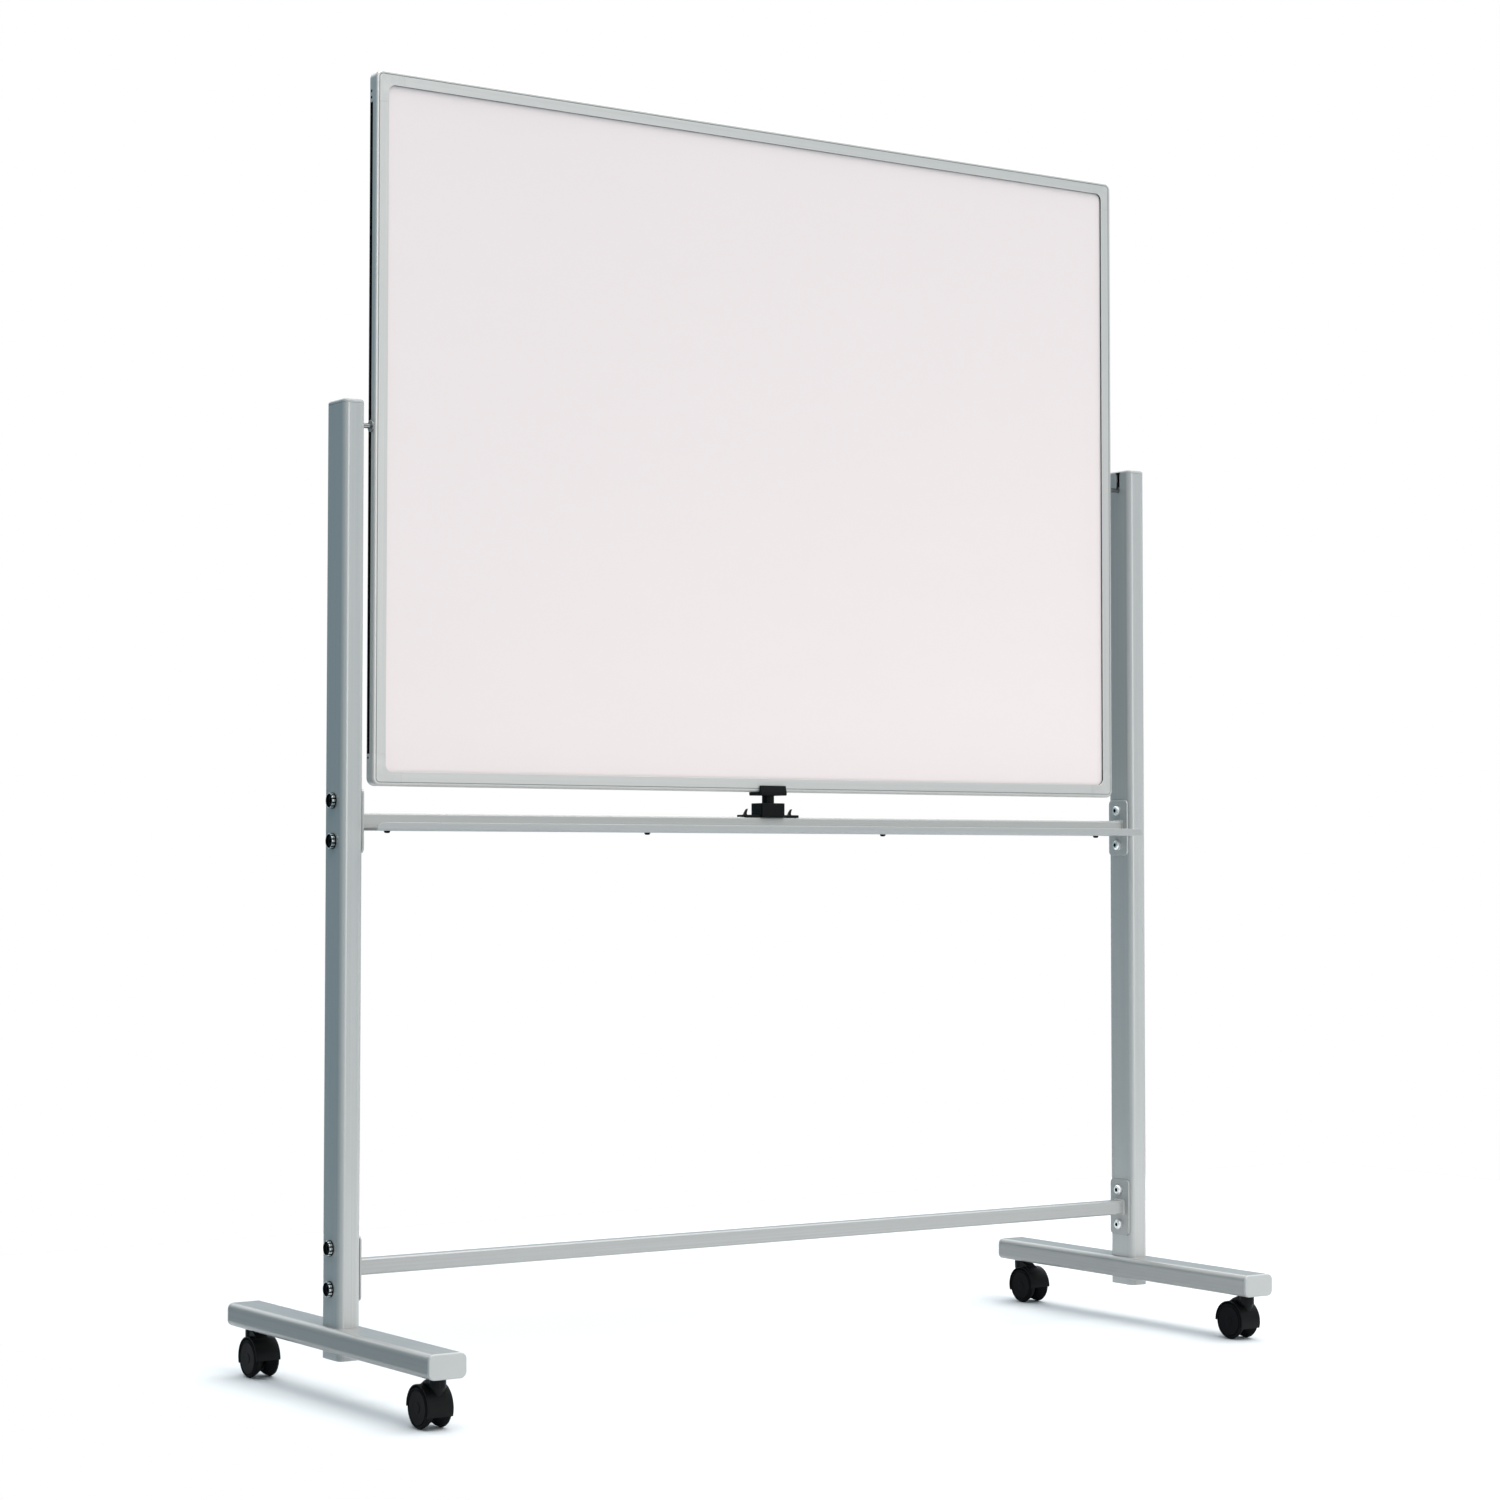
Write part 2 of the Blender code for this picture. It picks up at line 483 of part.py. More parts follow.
for vert, sz in (("bottom", -1.0), ("top", 1.0)):
    for side, sx in SIDES:
        ax = ((-sx, 0, 0), (0, 0, -sz), (0, sx * sz * -1.0, 0))
        # keep a right-handed frame: thickness along +Y or -Y, the outline is symmetric about it
        vx, vy = Vector(ax[0]), Vector(ax[1])
        az = vx.cross(vy)
        ax = (ax[0], ax[1], tuple(az))
        co = extrude("frame_corner_%s_%s" % (vert, side), [corner_outline], -HT, HT, ax, M_ALU,
                     origin=(sx * BOARD_W / 2, 0, PIVOT_Z + sz * BOARD_H / 2))
        bevel(co, 2.6, 3, weight=lambda a, b: (on_outer(a) and on_outer(b) and abs(abs(a.z) - HT) < 0.01
                                               and abs(a.z - b.z) < 0.01))
        lo = [min(sx * (BOARD_W / 2 - POCKET), sx * (BOARD_W / 2 - 80.0)), -LIP_IN,
              min(PIVOT_Z + sz * (BOARD_H / 2 - POCKET), PIVOT_Z + sz * (BOARD_H / 2 - 80.0))]
        hi = [max(sx * (BOARD_W / 2 - POCKET), sx * (BOARD_W / 2 - 80.0)), LIP_IN,
              max(PIVOT_Z + sz * (BOARD_H / 2 - POCKET), PIVOT_Z + sz * (BOARD_H / 2 - 80.0))]
        boolean(co, box("cut_corner_pocket", lo, hi, None, cutters))
        smooth(co)
        board_nodes.append(co)

# each sheet's face fills the opening of the frame, and its rebated edge lies under the frame's lips
ins = POCKET + 0.4
for name, e in (("front_panel", -1.0), ("rear_panel", 1.0)):
    lo_y, hi_y = sorted((e * GAP / 2, e * (HT - RECESS - REBATE)))
    panel = box(name, (-BOARD_W / 2 + ins, lo_y, Z0 + ins), (BOARD_W / 2 - ins, hi_y, Z1 - ins), M_WHITE)
    lo_y, hi_y = sorted((e * (HT - RECESS - REBATE - 0.5), e * (HT - RECESS)))
    face = extrude("join_face_" + name, [rounded(BOARD_H - 2 * (RAIL_W + GAP), BOARD_W - 2 * (RAIL_W + GAP), OPENING_R - GAP, n=3)],
                   lo_y, hi_y, ALONG_Y, M_WHITE, cutters, origin=(0, 0, PIVOT_Z))
    boolean(panel, face, "UNION")
    board_nodes.append(panel)

for side, s in SIDES:
    b, u = BOARD_W / 2, UP_X - UP_W / 2 + WALL
    prof = [(0.0, u + 5.0), (5.0, u + 5.0), (6.0, u + 4.0), (6.0, u + 0.8), (PIN_R, u + 0.8),
            (PIN_R, b + 1.8), (7.0, b + 1.8), (7.5, b + 1.2), (7.5, b + GAP), (PIN_R, b + GAP),
            (PIN_R, b - POCKET + 0.2), (0.0, b - POCKET + 0.2)]
    pin = turned("pivot_pin_" + side, prof, ((0, 1, 0), (0, 0, s), (s, 0, 0)), (0, 0, PIVOT_Z), 16, M_CHROME)
    board_nodes.append(pin)

ride(empty("board_axis", (0, 0, PIVOT_Z)), board_nodes)
ride(empty("catch_axis", (0, 0, CATCH_Z)), [catch])

# ------------------------------------------------------------ casters
for end, e in (("front", -1.0), ("rear", 1.0)):
    for side, s in SIDES:
        tag = "%s_%s" % (end, side)
        cx, sy = s * UP_X, e * CASTER_Y
        wy = sy - e * TRAIL                       # wheels trail towards the middle of the foot
        prof = [(0.0, 84.0), (5.0, 84.0), (5.0, 67.2), (8.0, 67.2), (8.0, FOOT_Z0 + WALL + GAP),
                (5.0, FOOT_Z0 + WALL + GAP), (5.0, FOOT_Z0), (4.0, FOOT_Z0), (4.0, 48.8), (0.0, 48.8)]
        turned("caster_stem_" + tag, prof, ALONG_Z, (cx, sy, 0), 12, M_CHROME)

        # hood: arched cover over both wheels, stem boss, and the web that holds the axle
        def at(r, deg):                            # deg 0 on the stem side, 90 on top
            return (wy + e * r * math.cos(math.radians(deg)), WHEEL_R + r * math.sin(math.radians(deg)))
        a0, a1, na = -19.0, 182.0, 12
        shell = [at(HOOD_R, a0 + (a1 - a0) * i / na) for i in range(na + 1)] \
            + [at(HOOD_IN, a1 + (a0 - a1) * i / na) for i in range(na + 1)]
        hood = extrude("caster_hood_" + tag, [shell], cx - HOOD_X, cx + HOOD_X, ALONG_X, M_BLACK)
        boss = turned("join_boss_" + tag, [(0.0, FOOT_Z0 - GAP), (9.4, FOOT_Z0 - GAP), (10.0, FOOT_Z0 - 1.0), (10.0, 50.0), (5.0, 39.5),
                                           (0.0, 39.5)], ALONG_Z, (cx, sy, 0), 16, M_BLACK)
        boolean(hood, boss, "UNION")
        # fairing from the boss down to the crown of the hood
        fairing = [(sy - e * 3.0, 50.0), (sy - e * 3.0, 60.6), (sy - e * 9.5, 60.6), (sy - e * 20.0, 56.2), (sy - e * 29.0, 50.6), (sy - e * 27.0, 49.0)]
        boolean(hood, extrude("join_fairing_" + tag, [fairing], cx - 8.0, cx + 8.0, ALONG_X, M_BLACK, cutters), "UNION")
        boolean(hood, rod("cut_wheel_room_" + tag, WHEEL_ROOM, cx - 25, cx + 25, "X", (wy, WHEEL_R), 32, coll=cutters))
        web = [at(26.9, -12.0 + 190.0 * i / 12) for i in range(13)]
        web += [at(7.0, 200.0 + 140.0 * i / 4) for i in range(5)]
        boolean(hood, extrude("join_web_" + tag, [web], cx - 1.2, cx + 1.2, ALONG_X, M_BLACK, cutters), "UNION")
        boolean(hood, rod("cut_axle_hole_" + tag, 3.4, cx - 5, cx + 5, "X", (wy, WHEEL_R), 12, coll=cutters))
        boolean(hood, rod("cut_stem_hole_" + tag, 4.4, 48.3, 70.0, "Z", (cx, sy), 12, coll=cutters))
        smooth(hood)

        axle = rod("caster_axle_" + tag, 3.0, cx - 13.4, cx + 13.4, "X", (wy, WHEEL_R), 12, M_CHROME)
        smooth(axle)

        wheels = []
        for pos, ws in (("outer", s), ("inner", -s)):
            k = 1.0 / math.cos(math.pi / WHEEL_FACETS)    # flats at the nominal radius
            prof = [(0.0, WHEEL_OUT - 0.6), (21.2, WHEEL_OUT - 0.6), (21.8, WHEEL_OUT), (23.4 * k, WHEEL_OUT - 0.7),
                    (WHEEL_R * k, CROWN_X), (24.2 * k, 8.6), (21.2 * k, 4.4), (16.0, WHEEL_IN),
                    (14.0, WHEEL_IN), (14.0, 12.0), (7.0, 12.0), (7.0, WHEEL_IN), (3.35, WHEEL_IN), (3.35, 13.8),
                    (0.0, 13.8)]
            h = math.pi / WHEEL_FACETS                    # half a facet, so a flat faces the floor
            ax = ((0, math.cos(h), math.sin(h)), (0, -ws * math.sin(h), ws * math.cos(h)), (ws, 0, 0))
            w = turned("caster_wheel_%s_%s" % (tag, pos), prof, ax, (cx, wy, WHEEL_R), WHEEL_FACETS, M_BLACK)
            wheels.append(w)
        swivel = empty("swivel_axis_" + tag, (cx, sy, FOOT_Z0))
        ride(swivel, [hood, axle])
        roll = empty("wheel_axis_" + tag, (cx, wy, WHEEL_R))
        ride(roll, wheels)
        ride(swivel, [roll])
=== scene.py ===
import math
import bpy
import bmesh
from mathutils import Matrix, Vector


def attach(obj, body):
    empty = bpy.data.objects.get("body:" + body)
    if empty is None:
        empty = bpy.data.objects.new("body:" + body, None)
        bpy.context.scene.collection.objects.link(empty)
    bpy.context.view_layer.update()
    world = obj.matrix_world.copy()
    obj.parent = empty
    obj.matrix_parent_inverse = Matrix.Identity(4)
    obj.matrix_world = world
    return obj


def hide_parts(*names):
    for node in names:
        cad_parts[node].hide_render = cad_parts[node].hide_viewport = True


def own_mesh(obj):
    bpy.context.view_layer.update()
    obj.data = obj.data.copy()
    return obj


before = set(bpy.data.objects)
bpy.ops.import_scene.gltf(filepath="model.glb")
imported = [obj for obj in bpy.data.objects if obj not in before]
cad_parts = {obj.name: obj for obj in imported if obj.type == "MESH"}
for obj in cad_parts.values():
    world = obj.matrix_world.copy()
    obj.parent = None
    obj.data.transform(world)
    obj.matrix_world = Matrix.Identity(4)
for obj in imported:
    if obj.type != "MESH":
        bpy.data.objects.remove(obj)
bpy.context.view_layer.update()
scene = bpy.context.scene
MM = 0.001

SIDES = (("left", -1.0), ("right", 1.0))
ENDS = (("front", -1.0), ("rear", 1.0))

# ---------------------------------------------------------------- sizes (mm), as the frame has them
BOARD_W, BOARD_H, BOARD_T, PIVOT_Z, RAIL_W, RECESS = 1200.0, 900.0, 18.0, 1207.0, 18.0, 3.0
HT = BOARD_T / 2
CORNER_LEG, CORNER_R, OPENING_R, POCKET = 40.0, 10.0, 9.0, 8.0
SLOT_Y0, SLOT_Y1, SLOT_D = 0.4, 7.6, 6.5
LIP_IN = HT - RECESS + 0.2
UP_X, UP_W, UP_D, UP_R, WALL, UP_Z0, UP_Z1, UP_TOP = 635.0, 30.0, 50.0, 8.0, 1.5, 52.0, 1231.0, 1236.0
FOOT_Z0, FOOT_H, FOOT_W, FOOT_R, FOOT_L, FOOT_CAP = 62.0, 30.0, 50.0, 8.0, 550.0, 4.0
BAR, BAR_R, BAR_END, BAR_UP_Z, BAR_LOW_Z = 20.0, 3.0, 617.0, 713.0, 163.0
FLANGE_T, FLANGE_W, FLANGE_H, BOLT_DZ = 2.7, 40.0, 80.0, 25.0
TRAY_T, TRAY_FRONT, TRAY_BACK, TRAY_TOP, LIP_TOP = 1.5, -56.0, 10.0, 702.7, 711.0
TRAY_SCREWS = (-575.0, -192.0, 192.0, 575.0)
LATCH_Z, LATCH_TOP, CATCH_Z, TRAVEL = 723.0, 742.0, 752.3, 9.5
CASTER_Y, TRAIL, WHEEL_R, WHEEL_OUT, WHEEL_IN = 250.0, 19.0, 25.0, 17.5, 1.5
HOOD_R, HOOD_IN, HOOD_X = 27.6, 26.2, 17.0


# ================================================================ materials
def node(nt, kind, x=0, y=0, **props):
    n = nt.nodes.new(kind)
    n.location = (x, y)
    for k, v in props.items():
        setattr(n, k, v)
    return n


def noise(nt, coord, scale, detail=3.0, rough=0.55, stretch=None, x=-900, y=0):
    """Noise in the piece's own coordinates; scale is in cycles a metre, stretch scales the axes."""
    mp = node(nt, "ShaderNodeMapping", x, y)
    if stretch is not None:
        mp.inputs["Scale"].default_value = stretch
    nt.links.new(coord, mp.inputs["Vector"])
    n = node(nt, "ShaderNodeTexNoise", x + 200, y)
    n.inputs["Scale"].default_value = scale
    n.inputs["Detail"].default_value = detail
    n.inputs["Roughness"].default_value = rough
    nt.links.new(mp.outputs["Vector"], n.inputs["Vector"])
    return n.outputs["Fac"]


def ranged(nt, fac, lo, hi, x=-450, y=0, f0=0.3, f1=0.7):
    r = node(nt, "ShaderNodeMapRange", x, y)
    r.inputs["From Min"].default_value = f0
    r.inputs["From Max"].default_value = f1
    r.inputs["To Min"].default_value = lo
    r.inputs["To Max"].default_value = hi
    nt.links.new(fac, r.inputs["Value"])
    return r.outputs["Result"]


def mixed(nt, fac, a, b, x=-250, y=0, blend="MIX"):
    m = node(nt, "ShaderNodeMix", x, y, data_type="RGBA", blend_type=blend)
    for sock, v in ((m.inputs[6], a), (m.inputs[7], b)):
        if isinstance(v, bpy.types.NodeSocket):
            nt.links.new(v, sock)
        else:
            sock.default_value = (v[0], v[1], v[2], 1.0)
    if isinstance(fac, bpy.types.NodeSocket):
        nt.links.new(fac, m.inputs[0])
    else:
        m.inputs[0].default_value = fac
    return m.outputs[2]


def finish_mat(name, col, rough, metal=0.0, cloud=0.03, cloud_scale=7.0, grain=0.02, grain_scale=700.0,
               streak=0.0, streak_scale=(1, 1, 1), rough_var=0.05, rough_scale=45.0, bumps=(), coat=0.0,
               coat_rough=0.1, specular=0.5):
    """A surface with slow clouding, fine grain, streaks along the piece, uneven gloss and small relief."""
    m = bpy.data.materials.new(name)
    m.use_nodes = True
    nt = m.node_tree
    p = nt.nodes["Principled BSDF"]
    p.inputs["Metallic"].default_value = metal
    p.inputs["Specular IOR Level"].default_value = specular
    if coat:
        p.inputs["Coat Weight"].default_value = coat
        p.inputs["Coat Roughness"].default_value = coat_rough
    tc = node(nt, "ShaderNodeTexCoord", -1200, 0).outputs["Object"]
    dark = [c * (1 - cloud) for c in col]
    light = [min(c * (1 + cloud), 1.0) for c in col]
    base = mixed(nt, ranged(nt, noise(nt, tc, cloud_scale, 2.0, y=500), 0, 1, y=500, f0=0.1, f1=0.9), dark, light, y=500)
    fine = ranged(nt, noise(nt, tc, grain_scale, 2.0, y=250), 1 - grain, 1 + grain, y=250, f0=0.2, f1=0.8)
    g = node(nt, "ShaderNodeCombineColor", -300, 250)
    for s in ("Red", "Green", "Blue"):
        nt.links.new(fine, g.inputs[s])
    base = mixed(nt, 1.0, base, g.outputs["Color"], x=-80, y=400, blend="MULTIPLY")
    if streak:
        st = ranged(nt, noise(nt, tc, 1.0, 4.0, 0.6, streak_scale, y=750), 1 - streak, 1 + streak, y=750)
        g2 = node(nt, "ShaderNodeCombineColor", -300, 750)
        for s in ("Red", "Green", "Blue"):
            nt.links.new(st, g2.inputs[s])
        base = mixed(nt, 1.0, base, g2.outputs["Color"], x=60, y=600, blend="MULTIPLY")
    nt.links.new(base, p.inputs["Base Color"])
    rr = ranged(nt, noise(nt, tc, rough_scale, 3.0, stretch=streak_scale if streak and rough_scale == 1.0 else None, y=0),
                max(rough - rough_var, 0.02), rough + rough_var, y=0, f0=0.0, f1=1.0)
    nt.links.new(rr, p.inputs["Roughness"])
    prev = None
    for i, (scale, strength, dist, stretch) in enumerate(bumps):
        b = node(nt, "ShaderNodeBump", -100, -250 - 220 * i)
        b.inputs["Strength"].default_value = strength
        b.inputs["Distance"].default_value = dist
        nt.links.new(noise(nt, tc, scale, 2.0, stretch=stretch, y=-250 - 220 * i), b.inputs["Height"])
        if prev is not None:
            nt.links.new(prev, b.inputs["Normal"])
        prev = b.outputs["Normal"]
    if prev is not None:
        nt.links.new(prev, p.inputs["Normal"])
    return m


# painted tube: silver-grey powder coat, faintly drawn along the tube, with orange peel
PAINT = (0.458, 0.457, 0.443)


def paint(name, streak_scale, shade=1.0, rough=0.22, coat=0.0):
    return finish_mat(name, [c * shade for c in PAINT], rough, 0.16, coat=coat, coat_rough=0.07, cloud=0.012, cloud_scale=5.0, grain=0.012, grain_scale=900.0,
                      streak=0.045, streak_scale=streak_scale, rough_var=0.035, rough_scale=12.0,
                      bumps=((1.0, 0.10, 0.00006, streak_scale), (2600.0, 0.03, 0.00003, None)))


M_PAINT_Z = paint("powder_coat_upright", (420.0, 420.0, 1.6), coat=0.30)
# The upper crossbar's copy of the coat is 3 % lighter, and the lower crossbar's and the feet's copies are darker:
# painted light and painted shade for how the light falls on each.
M_LIT_UPPER_BAR_PAINT = paint("upper_bar_powder_coat_painted_light", (1.6, 420.0, 420.0), 1.03)
M_SHADED_LOWER_BAR_PAINT = paint("lower_bar_powder_coat_painted_shade", (1.6, 420.0, 420.0), 0.83)
M_SHADED_FOOT_PAINT = paint("foot_powder_coat_painted_shade", (420.0, 1.6, 420.0), 0.73, rough=0.22)
M_PAINT = finish_mat("powder_coat_plain", PAINT, 0.27, 0.16, cloud=0.02, grain=0.012, grain_scale=900.0,
                     bumps=((2600.0, 0.03, 0.00003, None),))


def alu(name, streak_scale):
    return finish_mat(name, (0.600, 0.582, 0.556), 0.34, 0.40, cloud=0.015, grain=0.015, grain_scale=1500.0,
                      streak=0.05, streak_scale=streak_scale, rough_var=0.06, rough_scale=1.0,
                      bumps=((1.0, 0.06, 0.0001, streak_scale),))


M_ALU_X = alu("anodised_rail_x", (1.5, 900.0, 900.0))
M_ALU_Z = alu("anodised_rail_z", (900.0, 900.0, 1.5))
M_ALU_C = alu("anodised_corner", (60.0, 60.0, 60.0))
M_WHITE = finish_mat("white_enamel", (0.805, 0.710, 0.692), 0.30, 0.0, cloud=0.006, cloud_scale=2.2, grain=0.004,
                     grain_scale=300.0, streak=0.004, streak_scale=(3.0, 14.0, 14.0), rough_var=0.03, rough_scale=3.0,
                     bumps=((900.0, 0.02, 0.00002, None),), coat=0.10, coat_rough=0.18)
M_CAP = finish_mat("grey_moulded_plastic", (0.425, 0.428, 0.42), 0.46, 0.0, cloud=0.02, cloud_scale=30.0, grain=0.02,
                   grain_scale=1200.0, bumps=((1500.0, 0.10, 0.00012, None),))
M_BLACK = finish_mat("black_moulded_plastic", (0.0062, 0.0066, 0.0066), 0.38, 0.0, cloud=0.12, cloud_scale=60.0,
                     grain=0.10, grain_scale=1500.0, rough_var=0.06, rough_scale=120.0, specular=0.10,
                     bumps=((1700.0, 0.18, 0.0002, None),))
M_TREAD = finish_mat("black_tread", (0.0050, 0.0052, 0.0056), 0.55, 0.0, specular=0.06, cloud=0.15, cloud_scale=80.0, grain=0.12,
                     grain_scale=900.0, rough_var=0.08, rough_scale=90.0, bumps=((900.0, 0.2, 0.0002, None),))
M_DISC = finish_mat("black_disc", (0.0060, 0.0063, 0.0075), 0.42, 0.0, specular=0.03, cloud=0.08, cloud_scale=50.0, grain=0.10,
                    grain_scale=1600.0, rough_var=0.05, rough_scale=100.0, bumps=((1900.0, 0.22, 0.0002, None),))
# Near-black for the rails' side slot, and on the walls of the corners' access holes, where it is painted shade.
M_SLOT_BLACK_HOLE_SHADE = finish_mat("black_slot_and_hole_painted_shade", (0.004, 0.004, 0.005), 0.65, 0.0, cloud=0.1, cloud_scale=40.0, grain=0.1,
                     grain_scale=900.0, specular=0.15, bumps=((900.0, 0.1, 0.0002, None),))
M_CHROME = finish_mat("bright_plated_steel", (0.80, 0.80, 0.79), 0.14, 1.0, cloud=0.02, cloud_scale=200.0, grain=0.02,
                      grain_scale=2500.0, rough_var=0.05, rough_scale=400.0, bumps=((2500.0, 0.05, 0.00005, None),))
# Satin plating for the inner bolt heads; its lighter, less metallic base than the bright plating is painted light.
M_HEAD = finish_mat("satin_plating_painted_light", (0.90, 0.90, 0.89), 0.36, 0.85, cloud=0.02, cloud_scale=200.0, grain=0.02,
                    grain_scale=2500.0, rough_var=0.05, rough_scale=400.0)
# Darker steel than the bright plating for the pivot pins: painted shade on the pins in the slot.
M_SHADED_PIN_STEEL = finish_mat("pin_steel_painted_shade", (0.34, 0.34, 0.325), 0.20, 1.0, cloud=0.03, cloud_scale=200.0, grain=0.03, grain_scale=1500.0)
M_ZINC = finish_mat("zinc_plated_steel", (0.60, 0.61, 0.60), 0.32, 1.0, cloud=0.06, cloud_scale=150.0, grain=0.04,
                    grain_scale=1800.0, rough_var=0.08, rough_scale=250.0, bumps=((1800.0, 0.1, 0.0001, None),))
# Near-black standing in for shade and reflection: painted shade in the sockets, flutes and cap notch and on the tray
# fixings under the tray, and a painted dark reflection on the cap nuts.
M_SHADE_AND_REFLECTION_BLACK = finish_mat("black_painted_shade_and_reflection", (0.005, 0.0055, 0.005), 0.3, 0.0, specular=0.08, cloud=0.1, cloud_scale=200.0, grain=0.1,
                       grain_scale=1500.0, bumps=((1500.0, 0.1, 0.0001, None),))


# The tray's copy of the powder coat is darker than the rest: painted shade on the tray lip.
M_SHADED_TRAY_PAINT = finish_mat("tray_powder_coat_painted_shade", (0.395, 0.398, 0.388), 0.30, 0.16, cloud=0.02, cloud_scale=5.0, grain=0.03, grain_scale=900.0,
                    streak=0.045, streak_scale=(1.6, 420.0, 420.0), rough_var=0.035, rough_scale=12.0,
                    bumps=((1.0, 0.10, 0.00006, (1.6, 420.0, 420.0)), (2600.0, 0.03, 0.00003, None)))
# Darker colour on the faces of the fine groove round the frame: painted shade in the groove.
M_SHADE_IN_GROOVE = finish_mat("groove_painted_shade", (0.24, 0.26, 0.25), 0.5, 0.3, cloud=0.03, cloud_scale=40.0, grain=0.05, grain_scale=1200.0,
                      bumps=((900.0, 0.1, 0.0001, None),))
# Near-black on the lip's inner wall, where it steps down to the panel: painted shade in the step.
M_STEP_WALL_SHADE = finish_mat("step_wall_painted_shade", (0.055, 0.066, 0.062), 0.6, 0.0, cloud=0.1, cloud_scale=40.0, grain=0.1, grain_scale=900.0, specular=0.2,
                    bumps=((900.0, 0.1, 0.0001, None),))


# ================================================================ shape helpers
def axes_matrix(axes, origin):
    m = Matrix.Identity(4)
    for i, v in enumerate(axes):
        for j in range(3):
            m[j][i] = v[j]
    for j in range(3):
        m[j][3] = origin[j]
    return m


ALONG_Z = ((1, 0, 0), (0, 1, 0), (0, 0, 1))      # outline in X, Y
ALONG_X = ((0, 1, 0), (0, 0, 1), (1, 0, 0))      # outline in Y, Z
ALONG_Y = ((0, 0, 1), (1, 0, 0), (0, 1, 0))      # outline in Z, X
ACROSS_X = ((0, 0, 1), (0, 1, 0), (-1, 0, 0))    # outline in Z, Y


def make(name, bm, mats, axes=ALONG_Z, origin=(0, 0, 0)):
    bmesh.ops.transform(bm, matrix=axes_matrix(axes, origin), verts=bm.verts)
    bmesh.ops.transform(bm, matrix=Matrix.Scale(MM, 4), verts=bm.verts)
    bmesh.ops.recalc_face_normals(bm, faces=bm.faces)
    me = bpy.data.meshes.new(name)
    bm.to_mesh(me)
    bm.free()
    for m in (mats if isinstance(mats, (list, tuple)) else [mats]):
        me.materials.append(m)
    ob = bpy.data.objects.new(name, me)
    scene.collection.objects.link(ob)
    return ob


def arc(cx, cy, r, a0, a1, n):
    return [(cx + r * math.cos(math.radians(a0 + (a1 - a0) * i / n)),
             cy + r * math.sin(math.radians(a0 + (a1 - a0) * i / n))) for i in range(n + 1)]


def rrect(w, h, r, n=10, cx=0.0, cy=0.0):
    x, y = w / 2 - r, h / 2 - r
    return (arc(cx + x, cy - y, r, -90, 0, n) + arc(cx + x, cy + y, r, 0, 90, n)
            + arc(cx - x, cy + y, r, 90, 180, n) + arc(cx - x, cy - y, r, 180, 270, n))


def fillet(pts, closed=True, n=5):
    """Polygon whose corners (x, y, r) are rounded to r."""
    out, m = [], len(pts)
    for i, p in enumerate(pts):
        c = Vector(p[:2])
        r = p[2] if len(p) > 2 else 0.0
        if r <= 0 or (not closed and i in (0, m - 1)):
            out.append((c.x, c.y))
            continue
        a, b = Vector(pts[i - 1][:2]), Vector(pts[(i + 1) % m][:2])
        u, v = (a - c).normalized(), (b - c).normalized()
        ang = u.angle(v)
        d = min(r / math.tan(ang / 2), 0.495 * (a - c).length, 0.495 * (b - c).length)
        rr = d * math.tan(ang / 2)
        o = c + (u + v).normalized() * (rr / math.sin(ang / 2))
        s, e = c + u * d, c + v * d
        a0, a1 = math.atan2(s.y - o.y, s.x - o.x), math.atan2(e.y - o.y, e.x - o.x)
        da = (a1 - a0 + math.pi) % (2 * math.pi) - math.pi
        out += [(o.x + rr * math.cos(a0 + da * k / n), o.y + rr * math.sin(a0 + da * k / n)) for k in range(n + 1)]
    return out


def area2(pts):
    return sum(pts[i - 1][0] * pts[i][1] - pts[i][0] * pts[i - 1][1] for i in range(len(pts)))


def inset(pts, dist):
    """Outline (counter-clockwise) with edge i, from point i to i + 1, moved in by dist[i]."""
    m = len(pts)
    out = []
    for i in range(m):
        v = Vector(pts[i])
        e0, e1 = (v - Vector(pts[i - 1])), (Vector(pts[(i + 1) % m]) - v)
        n0, n1 = Vector((-e0.y, e0.x)).normalized(), Vector((-e1.y, e1.x)).normalized()
        a, b = dist[i - 1], dist[i]
        det = n0.x * n1.y - n0.y * n1.x
        if abs(det) < 0.02:
            out.append(v + (n0 + n1).normalized() * ((a + b) / 2))
        else:
            out.append(v + Vector(((a * n1.y - b * n0.y) / det, (b * n0.x - a * n1.x) / det)))
    return [(p.x, p.y) for p in out]


def clean(pts):
    out = []
    for p in pts:
        if not out or (Vector(p) - Vector(out[-1])).length > 1e-4:
            out.append(tuple(p))
    if (Vector(out[0]) - Vector(out[-1])).length <= 1e-4:
        out.pop()
    return out


